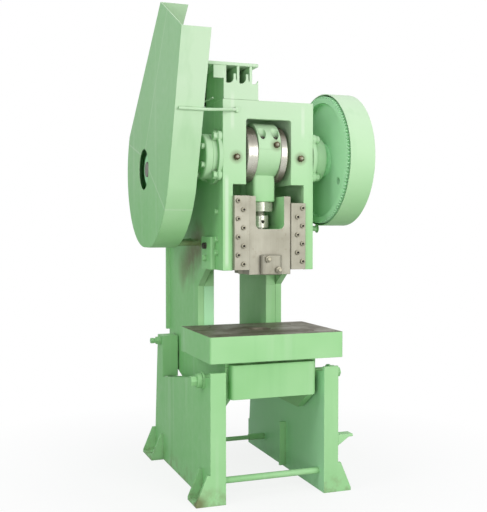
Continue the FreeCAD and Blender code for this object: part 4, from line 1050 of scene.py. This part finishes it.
def make_world():
    """White where it is seen or mirrored, and a soft even sky for the light."""
    world = bpy.data.worlds.new("studio")
    bpy.context.scene.world = world
    world.use_nodes = True
    tree = world.node_tree
    sky = tree.nodes["Background"]
    sky.inputs["Color"].default_value = SKY_COLOUR
    sky.inputs["Strength"].default_value = SKY_LEVEL
    white = tree.nodes.new("ShaderNodeBackground")
    white.inputs["Color"].default_value = WHITE + (1.0,)
    white.inputs["Strength"].default_value = 1.0
    path = tree.nodes.new("ShaderNodeLightPath")
    seen = path.outputs["Is Camera Ray"]
    for ray in ("Is Glossy Ray", "Is Transmission Ray"):
        either = tree.nodes.new("ShaderNodeMath")
        either.operation = "MAXIMUM"
        tree.links.new(seen, either.inputs[0])
        tree.links.new(path.outputs[ray], either.inputs[1])
        seen = either.outputs[0]
    mixed = tree.nodes.new("ShaderNodeMixShader")
    tree.links.new(seen, mixed.inputs["Fac"])
    tree.links.new(sky.outputs[0], mixed.inputs[1])
    tree.links.new(white.outputs[0], mixed.inputs[2])
    tree.links.new(mixed.outputs[0], tree.nodes["World Output"].inputs["Surface"])


# Name, place, aim, width, power and colour of each square lamp.
LAMPS = (
    ("key", (1.6, -4.9, 2.3), (0.0, 0.0, 1.1), 2.6, 136.0, (1.0, 0.99, 0.96)),
    ("left_fill", (-4.2, -1.4, 3.4), (0.0, 0.0, 1.7), 1.8, 45.0, WHITE),
    ("low_fill", (-2.7, -4.3, 0.9), (0.1, 0.0, 0.9), 1.5, 45.0, WHITE),
    ("top", (0.2, 0.6, 5.2), (0.0, 0.0, 1.0), 3.0, 50.0, WHITE),
)


def area_light(name, place, aim, width, power, colour):
    data = bpy.data.lights.new(name, "AREA")
    data.shape = "RECTANGLE"
    data.size = data.size_y = width
    data.energy = power
    data.color = colour
    lamp = bpy.data.objects.new(name, data)
    lamp.location = place
    lamp.rotation_euler = (Vector(aim) - Vector(place)).to_track_quat("-Z", "Y").to_euler()
    bpy.context.scene.collection.objects.link(lamp)


CAMERA_PLACE = (-1.3447, -3.7176, 1.160)
CAMERA_TILT = 88.21             # degrees from looking straight down
CAMERA_TURN = -20.2             # degrees round Z
SENSOR_MM = 36.0
PHOTO_HEIGHT_PX = 512
FOCUS_PX = 833.0


def make_camera():
    data = bpy.data.cameras.new("camera")
    data.sensor_width = SENSOR_MM
    data.lens = SENSOR_MM * FOCUS_PX / PHOTO_HEIGHT_PX
    camera = bpy.data.objects.new("camera", data)
    camera.location = CAMERA_PLACE
    camera.rotation_euler = (math.radians(CAMERA_TILT), 0.0, math.radians(CAMERA_TURN))
    bpy.context.scene.collection.objects.link(camera)
    bpy.context.scene.camera = camera


make_floor()
make_world()
for lamp_values in LAMPS:
    area_light(*lamp_values)
make_camera()
bpy.context.scene.view_settings.view_transform = "Standard"
